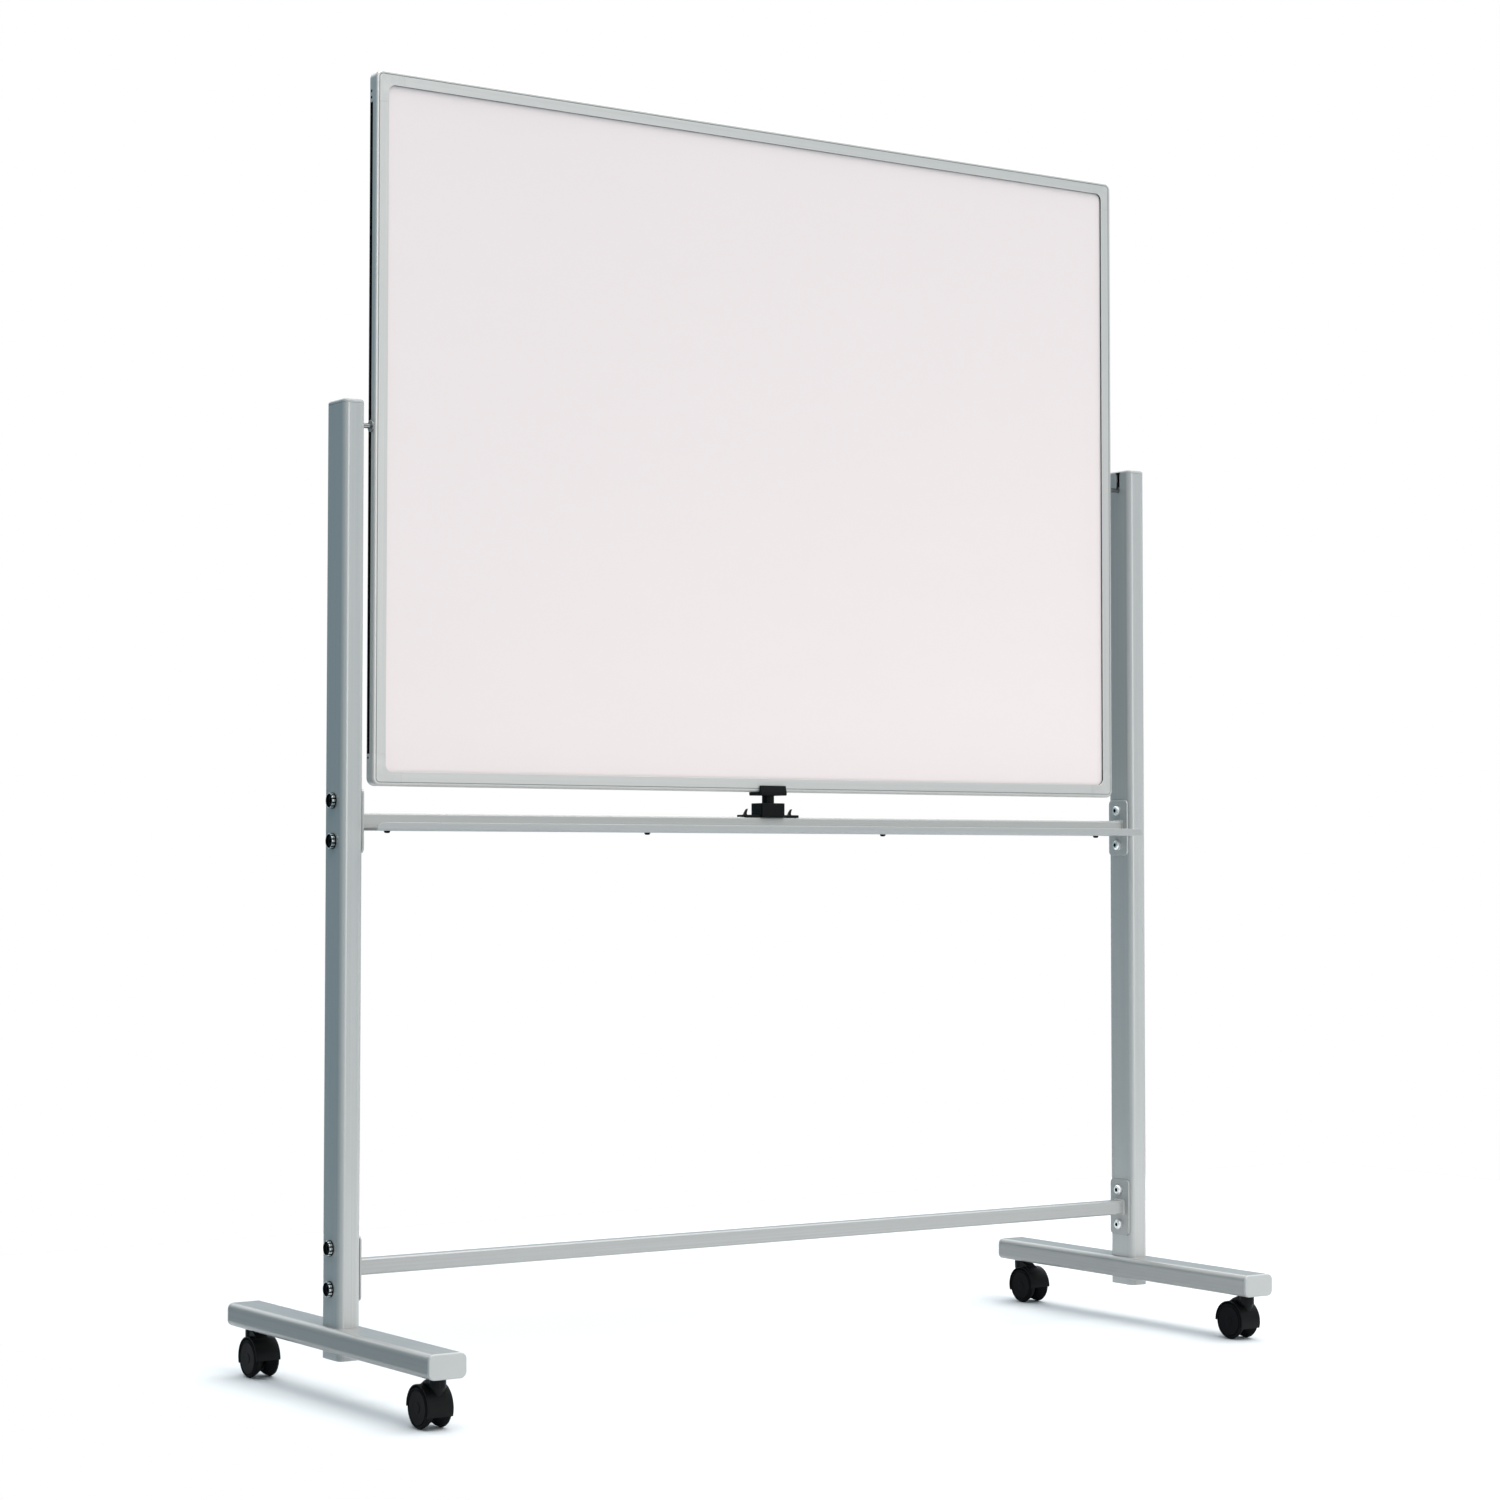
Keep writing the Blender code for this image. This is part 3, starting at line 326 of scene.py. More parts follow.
def slab(name, outline, h0, h1, axes, mats, origin=(0, 0, 0), r0=0.0, r1=0.0, n=4, tags=None):
    """Plate or prism: outline from h0 to h1 along local Z, its edges rounded r0 at h0 and r1 at h1.
    r0 and r1 are one radius, or one for each edge of the outline. tags gives each side face's material."""
    pts = [tuple(p) for p in outline]
    m = len(pts)
    if area2(pts) < 0:
        pts = pts[::-1]
        if isinstance(r0, list):
            r0 = [r0[(m - 2 - i) % m] for i in range(m)]
        if isinstance(r1, list):
            r1 = [r1[(m - 2 - i) % m] for i in range(m)]
        if tags is not None:
            tags = [tags[(m - 2 - i) % m] for i in range(m)]
    r0 = r0 if isinstance(r0, list) else [r0] * m
    r1 = r1 if isinstance(r1, list) else [r1] * m
    v0 = [max(r0[i - 1], r0[i]) for i in range(m)]
    v1 = [max(r1[i - 1], r1[i]) for i in range(m)]
    rings = []
    steps0 = range(n + 1) if max(r0) > 0 else (n,)
    for k in steps0:
        t = 0.5 * math.pi * k / n
        q = inset(pts, [r * (1 - math.sin(t)) for r in r0])
        rings.append([(x, y, h0 + v0[i] * (1 - math.cos(t))) for i, (x, y) in enumerate(q)])
    steps1 = range(n, -1, -1) if max(r1) > 0 else (n,)
    for k in steps1:
        t = 0.5 * math.pi * k / n
        q = inset(pts, [r * (1 - math.sin(t)) for r in r1])
        rings.append([(x, y, h1 - v1[i] * (1 - math.cos(t))) for i, (x, y) in enumerate(q)])
    bm = bmesh.new()
    vs = [[bm.verts.new(c) for c in ring] for ring in rings]
    for a, b in zip(vs, vs[1:]):
        for i in range(m):
            j = (i + 1) % m
            f = bm.faces.new((a[i], a[j], b[j], b[i]))
            if tags is not None:
                f.material_index = tags[i]
    bm.faces.new(vs[0][::-1])
    bm.faces.new(vs[-1])
    bmesh.ops.remove_doubles(bm, verts=bm.verts, dist=1e-5)
    return make(name, bm, mats, axes, origin)


def tube(name, outer, inner, h0, h1, axes, mats, origin=(0, 0, 0), lip=0.25):
    """Hollow section: matched outer and inner outlines from h0 to h1, the end edges broken by lip."""
    m = len(outer)
    o_in, i_out = inset(outer, [lip] * m), inset(inner, [-lip] * m)
    loop = [(o_in, h0), (outer, h0 + lip), (outer, h1 - lip), (o_in, h1),
            (i_out, h1), (inner, h1 - lip), (inner, h0 + lip), (i_out, h0)]
    bm = bmesh.new()
    vs = [[bm.verts.new((x, y, h)) for x, y in pts] for pts, h in loop]
    for k in range(len(vs)):
        a, b = vs[k], vs[(k + 1) % len(vs)]
        for i in range(m):
            j = (i + 1) % m
            bm.faces.new((a[i], a[j], b[j], b[i]))
    return make(name, bm, mats, axes, origin)


def lathe(name, profile, steps, axes, mats, origin=(0, 0, 0), tags=None, closed=False, flute=None):
    """Profile (radius, height) turned about local Z. tags gives each profile edge's material."""
    bm = bmesh.new()
    rings = []
    for r, h in profile:
        if r < 1e-6:
            rings.append([bm.verts.new((0, 0, h))])
        else:
            ring = []
            for i in range(steps):
                a = 2 * math.pi * i / steps
                q = r if flute is None else flute(r, h, a)
                ring.append(bm.verts.new((q * math.cos(a), q * math.sin(a), h)))
            rings.append(ring)
    pairs = list(zip(rings, rings[1:]))
    if closed:
        pairs.append((rings[-1], rings[0]))
    for k, (a, b) in enumerate(pairs):
        for i in range(steps):
            j = (i + 1) % steps
            if len(a) == 1 and len(b) == 1:
                continue
            if len(a) == 1:
                f = bm.faces.new((a[0], b[i], b[j]))
            elif len(b) == 1:
                f = bm.faces.new((a[i], b[0], a[j]))
            else:
                f = bm.faces.new((a[i], b[i], b[j], a[j]))
            if tags is not None:
                f.material_index = tags[k]
    return make(name, bm, mats, axes, origin)


def sweep(name, path, section, mats, up, closed=True, scale=None):
    """section (a, b) carried along path; a is along the path's side, b along up."""
    bm = bmesh.new()
    m = len(path)
    rings = []
    up = Vector(up)
    for i, p in enumerate(path):
        p = Vector(p)
        if closed:
            d = Vector(path[(i + 1) % m]) - Vector(path[i - 1])
        else:
            d = Vector(path[min(i + 1, m - 1)]) - Vector(path[max(i - 1, 0)])
        d.normalize()
        side = d.cross(up).normalized()
        u = side.cross(d).normalized()
        k = 1.0 if scale is None else scale(i / m)
        rings.append([bm.verts.new(p + side * (a * k) + u * (b * k)) for a, b in section])
    n = len(section)
    for i in range(m if closed else m - 1):
        a, b = rings[i], rings[(i + 1) % m]
        for j in range(n):
            q = (j + 1) % n
            bm.faces.new((a[j], a[q], b[q], b[j]))
    if not closed:
        bm.faces.new(rings[0][::-1])
        bm.faces.new(rings[-1])
    return make(name, bm, mats)


def apply_modifiers(ob):
    bpy.context.view_layer.update()
    dg = bpy.context.evaluated_depsgraph_get()
    me = bpy.data.meshes.new_from_object(ob.evaluated_get(dg))
    old = ob.data
    ob.modifiers.clear()
    ob.data = me
    bpy.data.meshes.remove(old)


def boolean(ob, *tools, op="DIFFERENCE", keep=False):
    """keep: the cut faces take the tool's own material."""
    for t in tools:
        md = ob.modifiers.new("cut", "BOOLEAN")
        md.operation = op
        md.solver = "EXACT"
        md.material_mode = "TRANSFER" if keep else "INDEX"
        md.object = t
    apply_modifiers(ob)
    for t in tools:
        me = t.data
        bpy.data.objects.remove(t, do_unlink=True)
        bpy.data.meshes.remove(me)
    return ob


def tidy(ob):
    """Merges points that a cut left on top of each other and dissolves the slivers between them."""
    bm = bmesh.new()
    bm.from_mesh(ob.data)
    bmesh.ops.remove_doubles(bm, verts=bm.verts, dist=2e-6)
    bmesh.ops.dissolve_degenerate(bm, edges=bm.edges, dist=2e-6)
    bm.to_mesh(ob.data)
    bm.free()


def done(ob, body, slot, *nodes, angle=32.0, cut=False):
    if cut:
        tidy(ob)
    ob.data.shade_smooth()
    ob.data.set_sharp_from_angle(angle=math.radians(angle))
    wn = ob.modifiers.new("normals", "WEIGHTED_NORMAL")
    wn.keep_sharp = True
    wn.weight = 60
    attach(ob, body)
    if nodes:
        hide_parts(*nodes)
    return ob


def cyl(r, h0, h1, axes, origin, steps=24):
    return lathe("tool", [(0, h1), (r, h1), (r, h0), (0, h0)], steps, axes, M_BLACK, origin)


def block(lo, hi, mat=None):
    return slab("tool", [(lo[0], lo[1]), (hi[0], lo[1]), (hi[0], hi[1]), (lo[0], hi[1])], lo[2], hi[2], ALONG_Z, mat or M_BLACK)


# ================================================================ stand: uprights, caps
for side, s in SIDES:
    up = tube("upright_tube_" + side, rrect(UP_W, UP_D, UP_R, 12), rrect(UP_W - 2 * WALL, UP_D - 2 * WALL, UP_R - WALL, 12),
              UP_Z0, UP_Z1, ALONG_Z, M_PAINT_Z, (s * UP_X, 0, 0))
    xi = s * (UP_X - UP_W / 2)
    lo, hi = sorted((xi - s * 2.0, xi + s * (WALL + 1.0)))
    slot_shape = [(-3.7, UP_Z1 + 5.0), (-3.7, PIVOT_Z)] + arc(0, PIVOT_Z, 3.7, 180, 360, 16)[1:] + [(3.7, UP_Z1 + 5.0)]
    tools = [slab("tool", slot_shape, lo, hi, ALONG_X, M_BLACK)]
    for zc in (BAR_UP_Z, BAR_LOW_Z):
        for dz in (-BOLT_DZ, BOLT_DZ):
            tools.append(cyl(3.4, s * UP_X - 20, s * UP_X + 20, ALONG_X, (0, 0, zc + dz), 16))
    boolean(up, *tools)
    done(up, "stand", "grey_steel", "upright_" + side, cut=True)

    cap = slab("upright_end_cap_" + side, rrect(UP_W, UP_D, UP_R, 12), UP_Z1 + 0.12, UP_TOP, ALONG_Z, M_CAP,
               (s * UP_X, 0, 0), r0=0.25, r1=3.4, n=6)
    plug = slab("tool", rrect(UP_W - 2 * WALL - 1.4, UP_D - 2 * WALL - 1.4, UP_R - WALL - 0.5, 6), UP_Z1 - 11.0, UP_Z1 + 2.0,
                ALONG_Z, M_CAP, (s * UP_X, 0, 0), r0=1.0)
    boolean(cap, plug, op="UNION")
    # The notch's faces are near-black: painted shade below the cap's rim, in line with the slot.
    lo, hi = sorted((xi - s * 2.0, xi + s * 4.5))
    notch = slab("tool", fillet([(-3.7, UP_Z1 - 12.0), (3.7, UP_Z1 - 12.0), (3.7, UP_Z1 + 0.4), (5.4, UP_Z1 + 1.2, 0.4), (5.4, UP_Z1 + 2.6, 0.6),
                                 (-5.4, UP_Z1 + 2.6, 0.6), (-5.4, UP_Z1 + 1.2, 0.4), (-3.7, UP_Z1 + 0.4)], n=3), lo, hi, ALONG_X, M_SHADE_AND_REFLECTION_BLACK)
    boolean(cap, notch, keep=True)
    done(cap, "stand", "grey_plastic", "upright_cap_" + side, cut=True)

# ================================================================ feet and end caps
    foot = tube("foot_tube_" + side, rrect(FOOT_H, FOOT_W, FOOT_R, 12), rrect(FOOT_H - 2 * WALL, FOOT_W - 2 * WALL, FOOT_R - WALL, 12),
                -FOOT_L / 2 + FOOT_CAP, FOOT_L / 2 - FOOT_CAP, ALONG_Y, M_SHADED_FOOT_PAINT, (s * UP_X, 0, FOOT_Z0 + FOOT_H / 2))
    tools = [slab("tool", rrect(UP_W + 0.4, UP_D + 0.4, UP_R + 0.2, 12), FOOT_Z0 - 5, FOOT_Z0 + FOOT_H + 5, ALONG_Z, M_BLACK, (s * UP_X, 0, 0))]
    tools += [cyl(5.5, FOOT_Z0 - 3, FOOT_Z0 + 4, ALONG_Z, (s * UP_X, e * CASTER_Y, 0), 20) for e in (-1, 1)]
    boolean(foot, *tools)
    done(foot, "stand", "grey_steel", "foot_" + side, cut=True)
    for end, e in ENDS:
        ax = ALONG_Y if e > 0 else ((0, 0, 1), (-1, 0, 0), (0, -1, 0))
        fc = slab("foot_end_cap_%s_%s" % (end, side), rrect(FOOT_H, FOOT_W, FOOT_R, 12), FOOT_L / 2 - FOOT_CAP + 0.12, FOOT_L / 2, ax, M_CAP,
                  (s * UP_X, 0, FOOT_Z0 + FOOT_H / 2), r0=0.2, r1=1.5, n=5)
        plug = slab("tool", rrect(FOOT_H - 2 * WALL - 1.4, FOOT_W - 2 * WALL - 1.4, FOOT_R - WALL - 0.5, 6), FOOT_L / 2 - FOOT_CAP - 11.0,
                    FOOT_L / 2 - 2.0, ax, M_CAP, (s * UP_X, 0, FOOT_Z0 + FOOT_H / 2), r0=1.0)
        boolean(fc, plug, op="UNION")
        done(fc, "stand", "grey_plastic", "foot_cap_%s_%s" % (end, side), cut=True)

# ================================================================ crossbars, welds, bolts
for level, zc in (("upper", BAR_UP_Z), ("lower", BAR_LOW_Z)):
    bar = tube("crossbar_tube_" + level, rrect(BAR, BAR, BAR_R, 7), rrect(BAR - 2 * WALL, BAR - 2 * WALL, BAR_R - WALL, 7),
               -BAR_END - 0.5, BAR_END + 0.5, ALONG_X, M_LIT_UPPER_BAR_PAINT if level == "upper" else M_SHADED_LOWER_BAR_PAINT, (0, 0, zc))
    plates, tools = [], []
    for side, s in SIDES:
        ax = ALONG_X if s > 0 else ((0, -1, 0), (0, 0, 1), (-1, 0, 0))
        plates.append(slab("tool", rrect(FLANGE_W, FLANGE_H, 6.0, 8), BAR_END, BAR_END + FLANGE_T, ax, M_LIT_UPPER_BAR_PAINT, (0, 0, zc), r0=0.6, r1=0.3, n=3))
        tools.append(cyl(5.0, BAR_END - 2, BAR_END + FLANGE_T + 2, ax, (0, 0, zc), 20))
        for dz in (-BOLT_DZ, BOLT_DZ):
            tools.append(cyl(3.4, BAR_END - 3, BAR_END + FLANGE_T + 3, ax, (0, 0, zc + dz), 16))
    boolean(bar, *plates, op="UNION")
    if level == "upper":
        tools.append(cyl(7.8, zc + BAR / 2 - 4, zc + BAR / 2 + 3, ALONG_Z, (0, 0, 0), 32))
        tools += [cyl(2.5, zc - BAR / 2 - 2, zc - BAR / 2 + 3, ALONG_Z, (x, 0, 0), 16) for x in TRAY_SCREWS]
        tools += [cyl(2.5, zc + BAR / 2 - 3, zc + BAR / 2 + 3, ALONG_Z, (x, 0, 0), 16) for x in (-30.0, 30.0)]
    boolean(bar, *tools)
    done(bar, "stand", "grey_steel", "crossbar_" + level, cut=True)

    for side, s in SIDES:
        # weld bead round the bar where it meets the plate: a low concave fillet with faint ripples
        ring = rrect(BAR, BAR, BAR_R, 16)
        path, dense = [], []
        for i in range(len(ring)):
            a, b = Vector(ring[i]), Vector(ring[(i + 1) % len(ring)])
            k = max(1, int((b - a).length / 0.5))
            dense += [a + (b - a) * (j / k) for j in range(k)]
        total = len(dense)
        section = [(-0.35, 0.35), (-0.35, -1.9), (0.15, -1.75), (0.65, -1.15), (1.15, -0.65), (1.75, -0.15), (1.9, 0.35)]
        bm = bmesh.new()
        rings = []
        for i, p in enumerate(dense):
            d = (dense[(i + 1) % total] - dense[i - 1]).normalized()
            out = Vector((d.y, -d.x))
            k = 1.0 + 0.07 * math.sin(2 * math.pi * i / 3.6) + 0.05 * math.sin(2 * math.pi * i / 41.0)
            rings.append([bm.verts.new((s * (BAR_END + b * (k if b < 0 else 1)), p.x + out.x * a * (k if a > 0 else 1),
                                        zc + p.y + out.y * a * (k if a > 0 else 1))) for a, b in section])
        for i in range(total):
            a, b = rings[i], rings[(i + 1) % total]
            for j in range(len(section)):
                q = (j + 1) % len(section)
                bm.faces.new((a[j], a[q], b[q], b[j]))
        done(make("weld_%s_%s" % (level, side), bm, M_PAINT), "stand", "grey_steel", angle=60.0)

        for pos, dz in (("top", BOLT_DZ), ("bottom", -BOLT_DZ)):
            ax = ((0, 1, 0), (0, 0, s), (s, 0, 0))
            xi, xo = BAR_END - 0.1, UP_X + UP_W / 2 + 0.1
            prof = fillet([(0.0, xo + 3.2), (8.5, xo + 3.2), (8.5, xo + 5.4, 0.2), (9.6, xo + 5.4, 0.6), (9.6, xo + 1.3, 0.3), (10.0, xo + 1.3, 0.1),
                           (10.0, xo), (3.0, xo), (3.0, xi), (7.0, xi, 0.25), (6.95, xi - 3.7, 1.4), (5.2, xi - 6.0, 1.1), (3.4, xi - 6.0), (0.0, xi - 6.0)],
                          closed=False, n=4)
            # Faces of the cap nut's recess and of its collar side take the near-black: painted shade and a painted
            # dark reflection; the inner head takes the satin plating.
            tags = [1 if (p[1] > xo + 3.1 and p[0] < 8.55 and q[0] < 8.55 and q[1] > xo + 3.1) or (p[0] > 9.3 and q[0] > 9.3 and xo - 0.1 < p[1] < xo + 1.9)
                    else 2 if q[1] < xi + 0.05 and p[1] < xi + 0.05 else 0 for p, q in zip(prof, prof[1:])]
            bolt = lathe("through_bolt_%s_%s_%s" % (level, side, pos), prof, 40, ax, [M_CHROME, M_SHADE_AND_REFLECTION_BLACK, M_HEAD], (0, 0, zc + dz), tags=tags)
            # The hex sockets and the twelve flutes cut round the cap nut take the near-black: painted shade.
            hx = cyl(3.0, xi - 8.0, xi - 2.6, ax, (0, 0, zc + dz), 6)
            hx.data.materials[0] = M_SHADE_AND_REFLECTION_BLACK
            hy = cyl(3.4, xo + 1.2, xo + 4.0, ax, (0, 0, zc + dz), 6)
            hy.data.materials[0] = M_SHADE_AND_REFLECTION_BLACK
            flutes = [cyl(1.15, xo + 1.0, xo + 7.0, ax, (0, 10.1 * math.cos(math.radians(15 + 30 * k)), zc + dz + 10.1 * math.sin(math.radians(15 + 30 * k))), 10)
                      for k in range(12)]
            for f in flutes:
                f.data.materials[0] = M_SHADE_AND_REFLECTION_BLACK
            boolean(bolt, hx, hy, *flutes, keep=True)
            done(bolt, "stand", "bright_steel", "bolt_%s_%s_%s" % (level, side, pos), cut=True)

# ================================================================ pen tray and its screws
sec = fillet([(TRAY_BACK, TRAY_TOP - TRAY_T, 0.25), (TRAY_FRONT, TRAY_TOP - TRAY_T, 2.3), (TRAY_FRONT, LIP_TOP, 0.7),
              (TRAY_FRONT + TRAY_T, LIP_TOP, 0.7), (TRAY_FRONT + TRAY_T, TRAY_TOP, 0.8), (TRAY_BACK, TRAY_TOP, 0.25)], n=6)
tray = slab("pen_tray", sec, -BAR_END, BAR_END, ALONG_X, M_SHADED_TRAY_PAINT, r0=0.0, r1=0.0)
tools = []
for s in (-1.0, 1.0):
    pts = [(LIP_TOP + 1, s * (BAR_END - 12.0))] + [(LIP_TOP - 8.5 + z, s * (BAR_END - 12.0) + y * 12.0 / 8.5) for z, y in arc(0, 0, 8.5, 0, s * 90, 18)]
    pts += [(LIP_TOP - 8.5, s * (BAR_END + 1)), (LIP_TOP + 1, s * (BAR_END + 1))]
    tools.append(slab("tool", clean(pts), TRAY_FRONT - 2, TRAY_FRONT + TRAY_T + 2, ALONG_Y, M_BLACK))
tools += [cyl(2.4, TRAY_TOP - 5, TRAY_TOP + 3, ALONG_Z, (x, 0, 0), 20) for x in TRAY_SCREWS]
boolean(tray, *tools)
done(tray, "stand", "grey_steel", "tray", cut=True)
for i, x in enumerate(TRAY_SCREWS):
    zb = TRAY_TOP - TRAY_T - 0.05
    prof = fillet([(0.0, BAR_UP_Z - 1.0), (2.0, BAR_UP_Z - 1.0, 0.4), (2.0, zb), (4.0, zb, 0.2), (3.9, zb - 1.3, 0.8), (2.7, zb - 2.75, 1.2), (0.0, zb - 3.0)],
                  closed=False, n=4)
    # The tray fixings are drawn in the near-black: painted shade under the tray.
    sc = lathe("tray_fixing_%d" % (i + 1), prof, 28, ALONG_Z, M_SHADE_AND_REFLECTION_BLACK, (x, 0, 0))
    boolean(sc, block((x - 1.7, -0.35, zb - 4.0), (x + 1.7, 0.35, zb - 1.6)), block((x - 0.35, -1.7, zb - 4.0), (x + 0.35, 1.7, zb - 1.6)))
    done(sc, "stand", "bright_steel", "tray_screw_%d" % (i + 1), cut=True)

# ================================================================ latch base, catch, spring
base = slab("latch_housing", rrect(90.0, 20.0, 3.0, 6), LATCH_Z + 0.08, LATCH_Z + 3.2, ALONG_Z, M_BLACK, r0=0.2, r1=1.0, n=4)
parts = [slab("tool", rrect(38.0, 28.0, 3.0, 8), LATCH_Z + 0.6, LATCH_TOP, ALONG_Z, M_BLACK, r0=0.3, r1=0.9, n=4)]
for x in (-37.5, 34.5):
    z0 = LATCH_Z + 2.0
    left = [(x - 2.2 + 1.5 * t + 3.4 * t * t - (1.6 * (1 - t) ** 3 if t < 0.3 else 0.0), z0 + 9.2 * t) for t in (0, 0.08, 0.16, 0.3, 0.45, 0.6, 0.75, 0.88, 0.97)]
    right = [(x + 2.0 - 1.1 * t + 3.2 * t * t + (1.2 * (1 - t) ** 3 if t < 0.3 else 0.0), z0 + 9.4 * t) for t in (1.0, 0.88, 0.75, 0.6, 0.45, 0.3, 0.16, 0.08, 0)]
    parts.append(slab("tool", [(b, a) for a, b in clean(left + right)], -2.0, 2.0, ALONG_Y, M_BLACK, r0=0.3, r1=0.3, n=2))
parts += [cyl(2.0, LATCH_Z - 6.0, LATCH_Z + 2.0, ALONG_Z, (x, 0, 0), 16) for x in (-30.0, 30.0)]
boolean(base, *parts, op="UNION")
boolean(base, cyl(7.4, LATCH_Z - 3, LATCH_TOP + 3, ALONG_Z, (0, 0, 0), 48), cyl(8.6, LATCH_TOP - 10.4, LATCH_TOP + 3, ALONG_Z, (0, 0, 0), 48))
done(base, "stand", "black_plastic", "latch_base", cut=True)

catch = slab("latch_slide", rrect(41.6, 30.0, 1.5, 5), CATCH_Z, CATCH_Z + 3.9, ALONG_Z, M_BLACK, r0=0.7, r1=0.4, n=3)
parts = []
for e in (-1.0, 1.0):
    up_out = fillet([(CATCH_Z + 0.6, e * 10.2), (CATCH_Z + 0.6, e * 14.8), (CATCH_Z + 4.2, e * 15.0, 1.2), (CATCH_Z + 13.2, e * 12.4, 0.5),
                     (CATCH_Z + 13.2, e * 10.7, 0.4), (CATCH_Z + 12.2, e * 10.2, 0.6)], n=4)
    ax = ((0, 0, 1), (0, 1, 0), (-1, 0, 0))
    parts.append(slab("tool", up_out, -20.8, 20.8, ax, M_BLACK, r0=0.5, r1=0.5, n=3))
stem = lathe("tool", fillet([(0.0, CATCH_Z + 1.0), (8.2, CATCH_Z + 1.0), (8.2, LATCH_TOP + 0.2, 0.4), (7.0, LATCH_TOP + 0.2), (7.0, LATCH_Z + 4.3, 0.6), (0.0, LATCH_Z + 4.3)],
                           closed=False, n=4), 96, ALONG_Z, M_BLACK,
             flute=lambda r, h, a: r - (0.5 * max(0.0, math.cos(6 * a)) ** 6 if r > 6.5 else 0.0))
parts.append(stem)
boolean(catch, *parts, op="UNION")
done(catch, "catch", "black_plastic", "latch_catch", cut=True)

n_pts, turns = 6 * 30, 6.0
sz0, sz1, wire, coil = 704.8, LATCH_Z + 4.0, 0.6, 5.4
path = []
for i in range(n_pts + 1):
    t = i / n_pts
    f = min(max((t * turns - 0.9) / (turns - 1.8), 0.0), 1.0)
    flat = 1.35 * wire
    z = sz0 + wire + flat * min(t * turns / 0.9, 1.0) + flat * max((t * turns - turns + 0.9) / 0.9, 0.0) + (sz1 - sz0 - 2 * wire - 2 * flat) * f
    a = 2 * math.pi * turns * t
    path.append((coil * math.cos(a), coil * math.sin(a), z))
spring = sweep("latch_coil", path, arc(0, 0, wire, 0, 315, 7), M_ZINC, (0, 0, 1), closed=False)
spring.data.shade_smooth()
spring.data.set_sharp_from_angle(angle=math.radians(60))
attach(spring, "stand")
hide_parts("latch_spring")
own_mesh(spring)

# ================================================================ board: rails
front_lip = arc(3.0, -HT + 3.0, 3.0, 180, 270, 10)
o = front_lip + [(4.15, -HT), (4.35, -HT + 0.35), (4.6, -HT + 0.5), (4.85, -HT + 0.35), (5.05, -HT)]
o += arc(RAIL_W - 0.6, -HT + 0.6, 0.6, -90, 0, 3) + [(RAIL_W, -LIP_IN), (POCKET, -LIP_IN), (POCKET, LIP_IN), (RAIL_W, LIP_IN)]
o += arc(RAIL_W - 0.6, HT - 0.6, 0.6, 0, 90, 3) + [(5.05, HT), (4.85, HT - 0.35), (4.6, HT - 0.5), (4.35, HT - 0.35), (4.15, HT)]
o += arc(1.4, HT - 1.4, 1.4, 90, 180, 5)
o += [(0.0, SLOT_Y1 + 0.25), (0.25, SLOT_Y1), (SLOT_D, SLOT_Y1), (SLOT_D, SLOT_Y0), (0.25, SLOT_Y0), (0.0, SLOT_Y0 - 0.25)]
section = clean(o)
stags = []
for i, p in enumerate(section):
    q = section[(i + 1) % len(section)]
    mx, my = (p[0] + q[0]) / 2, (p[1] + q[1]) / 2
    # The side slot's faces are drawn near-black.
    tag = 1 if (0.3 < mx < SLOT_D + 0.01 and SLOT_Y0 - 0.01 < my < SLOT_Y1 + 0.01) else 0
    # The fine groove's faces take the painted-shade groove colour.
    if 4.1 < mx < 5.1 and abs(my) > HT - 0.51:
        tag = 2
    # The lip's inner step wall takes the painted-shade step colour.
    if mx > RAIL_W - 0.05 and LIP_IN - 0.01 < abs(my) < HT - 0.55:
        tag = 3
    stags.append(tag)
run_x = BOARD_W / 2 - CORNER_LEG - 0.06
run_z = BOARD_H / 2 - CORNER_LEG - 0.06
for side, s in SIDES:
    ax = ((-s, 0, 0), (0, 1, 0), (0, 0, -s))
    rail = slab("rail_extrusion_" + side, section, -run_z, run_z, ax, [M_ALU_Z, M_SLOT_BLACK_HOLE_SHADE, M_SHADE_IN_GROOVE, M_STEP_WALL_SHADE], (s * BOARD_W / 2, 0, PIVOT_Z), tags=stags)
    done(rail, "board", "anodised_aluminium", "frame_rail_" + side, angle=28)
for level, s in (("bottom", -1.0), ("top", 1.0)):
    ax = ((0, 0, -s), (0, 1, 0), (s, 0, 0))
    rail = slab("rail_extrusion_" + level, section, -run_x, run_x, ax, [M_ALU_X, M_SLOT_BLACK_HOLE_SHADE, M_SHADE_IN_GROOVE, M_STEP_WALL_SHADE], (0, 0, PIVOT_Z + s * BOARD_H / 2), tags=stags)
    done(rail, "board", "anodised_aluminium", "frame_rail_" + level, angle=28)

# ================================================================ board: corner pieces
L = CORNER_LEG - 0.06
outer_arc = arc(CORNER_R, CORNER_R, CORNER_R, 180, 270, 16)
inner_arc = arc(RAIL_W + OPENING_R, RAIL_W + OPENING_R, OPENING_R, 270, 180, 14)
co_pts = [(0.0, L)] + outer_arc + [(L, 0.0), (L, RAIL_W)] + inner_arc + [(RAIL_W, L)]
co_pts = clean(co_pts)


def edge_kind(p, q):
    mx, my = (p[0] + q[0]) / 2, (p[1] + q[1]) / 2
    if abs(p[0] - L) < 1e-6 and abs(q[0] - L) < 1e-6 or abs(p[1] - L) < 1e-6 and abs(q[1] - L) < 1e-6:
        return "end"
    if min(mx, my) < 3.2 and math.hypot(mx, my) < 60 and (mx < 9.9 or my < 9.9) and not (mx > RAIL_W - 0.1 and my > RAIL_W - 0.1):
        return "outer"
    return "inner"


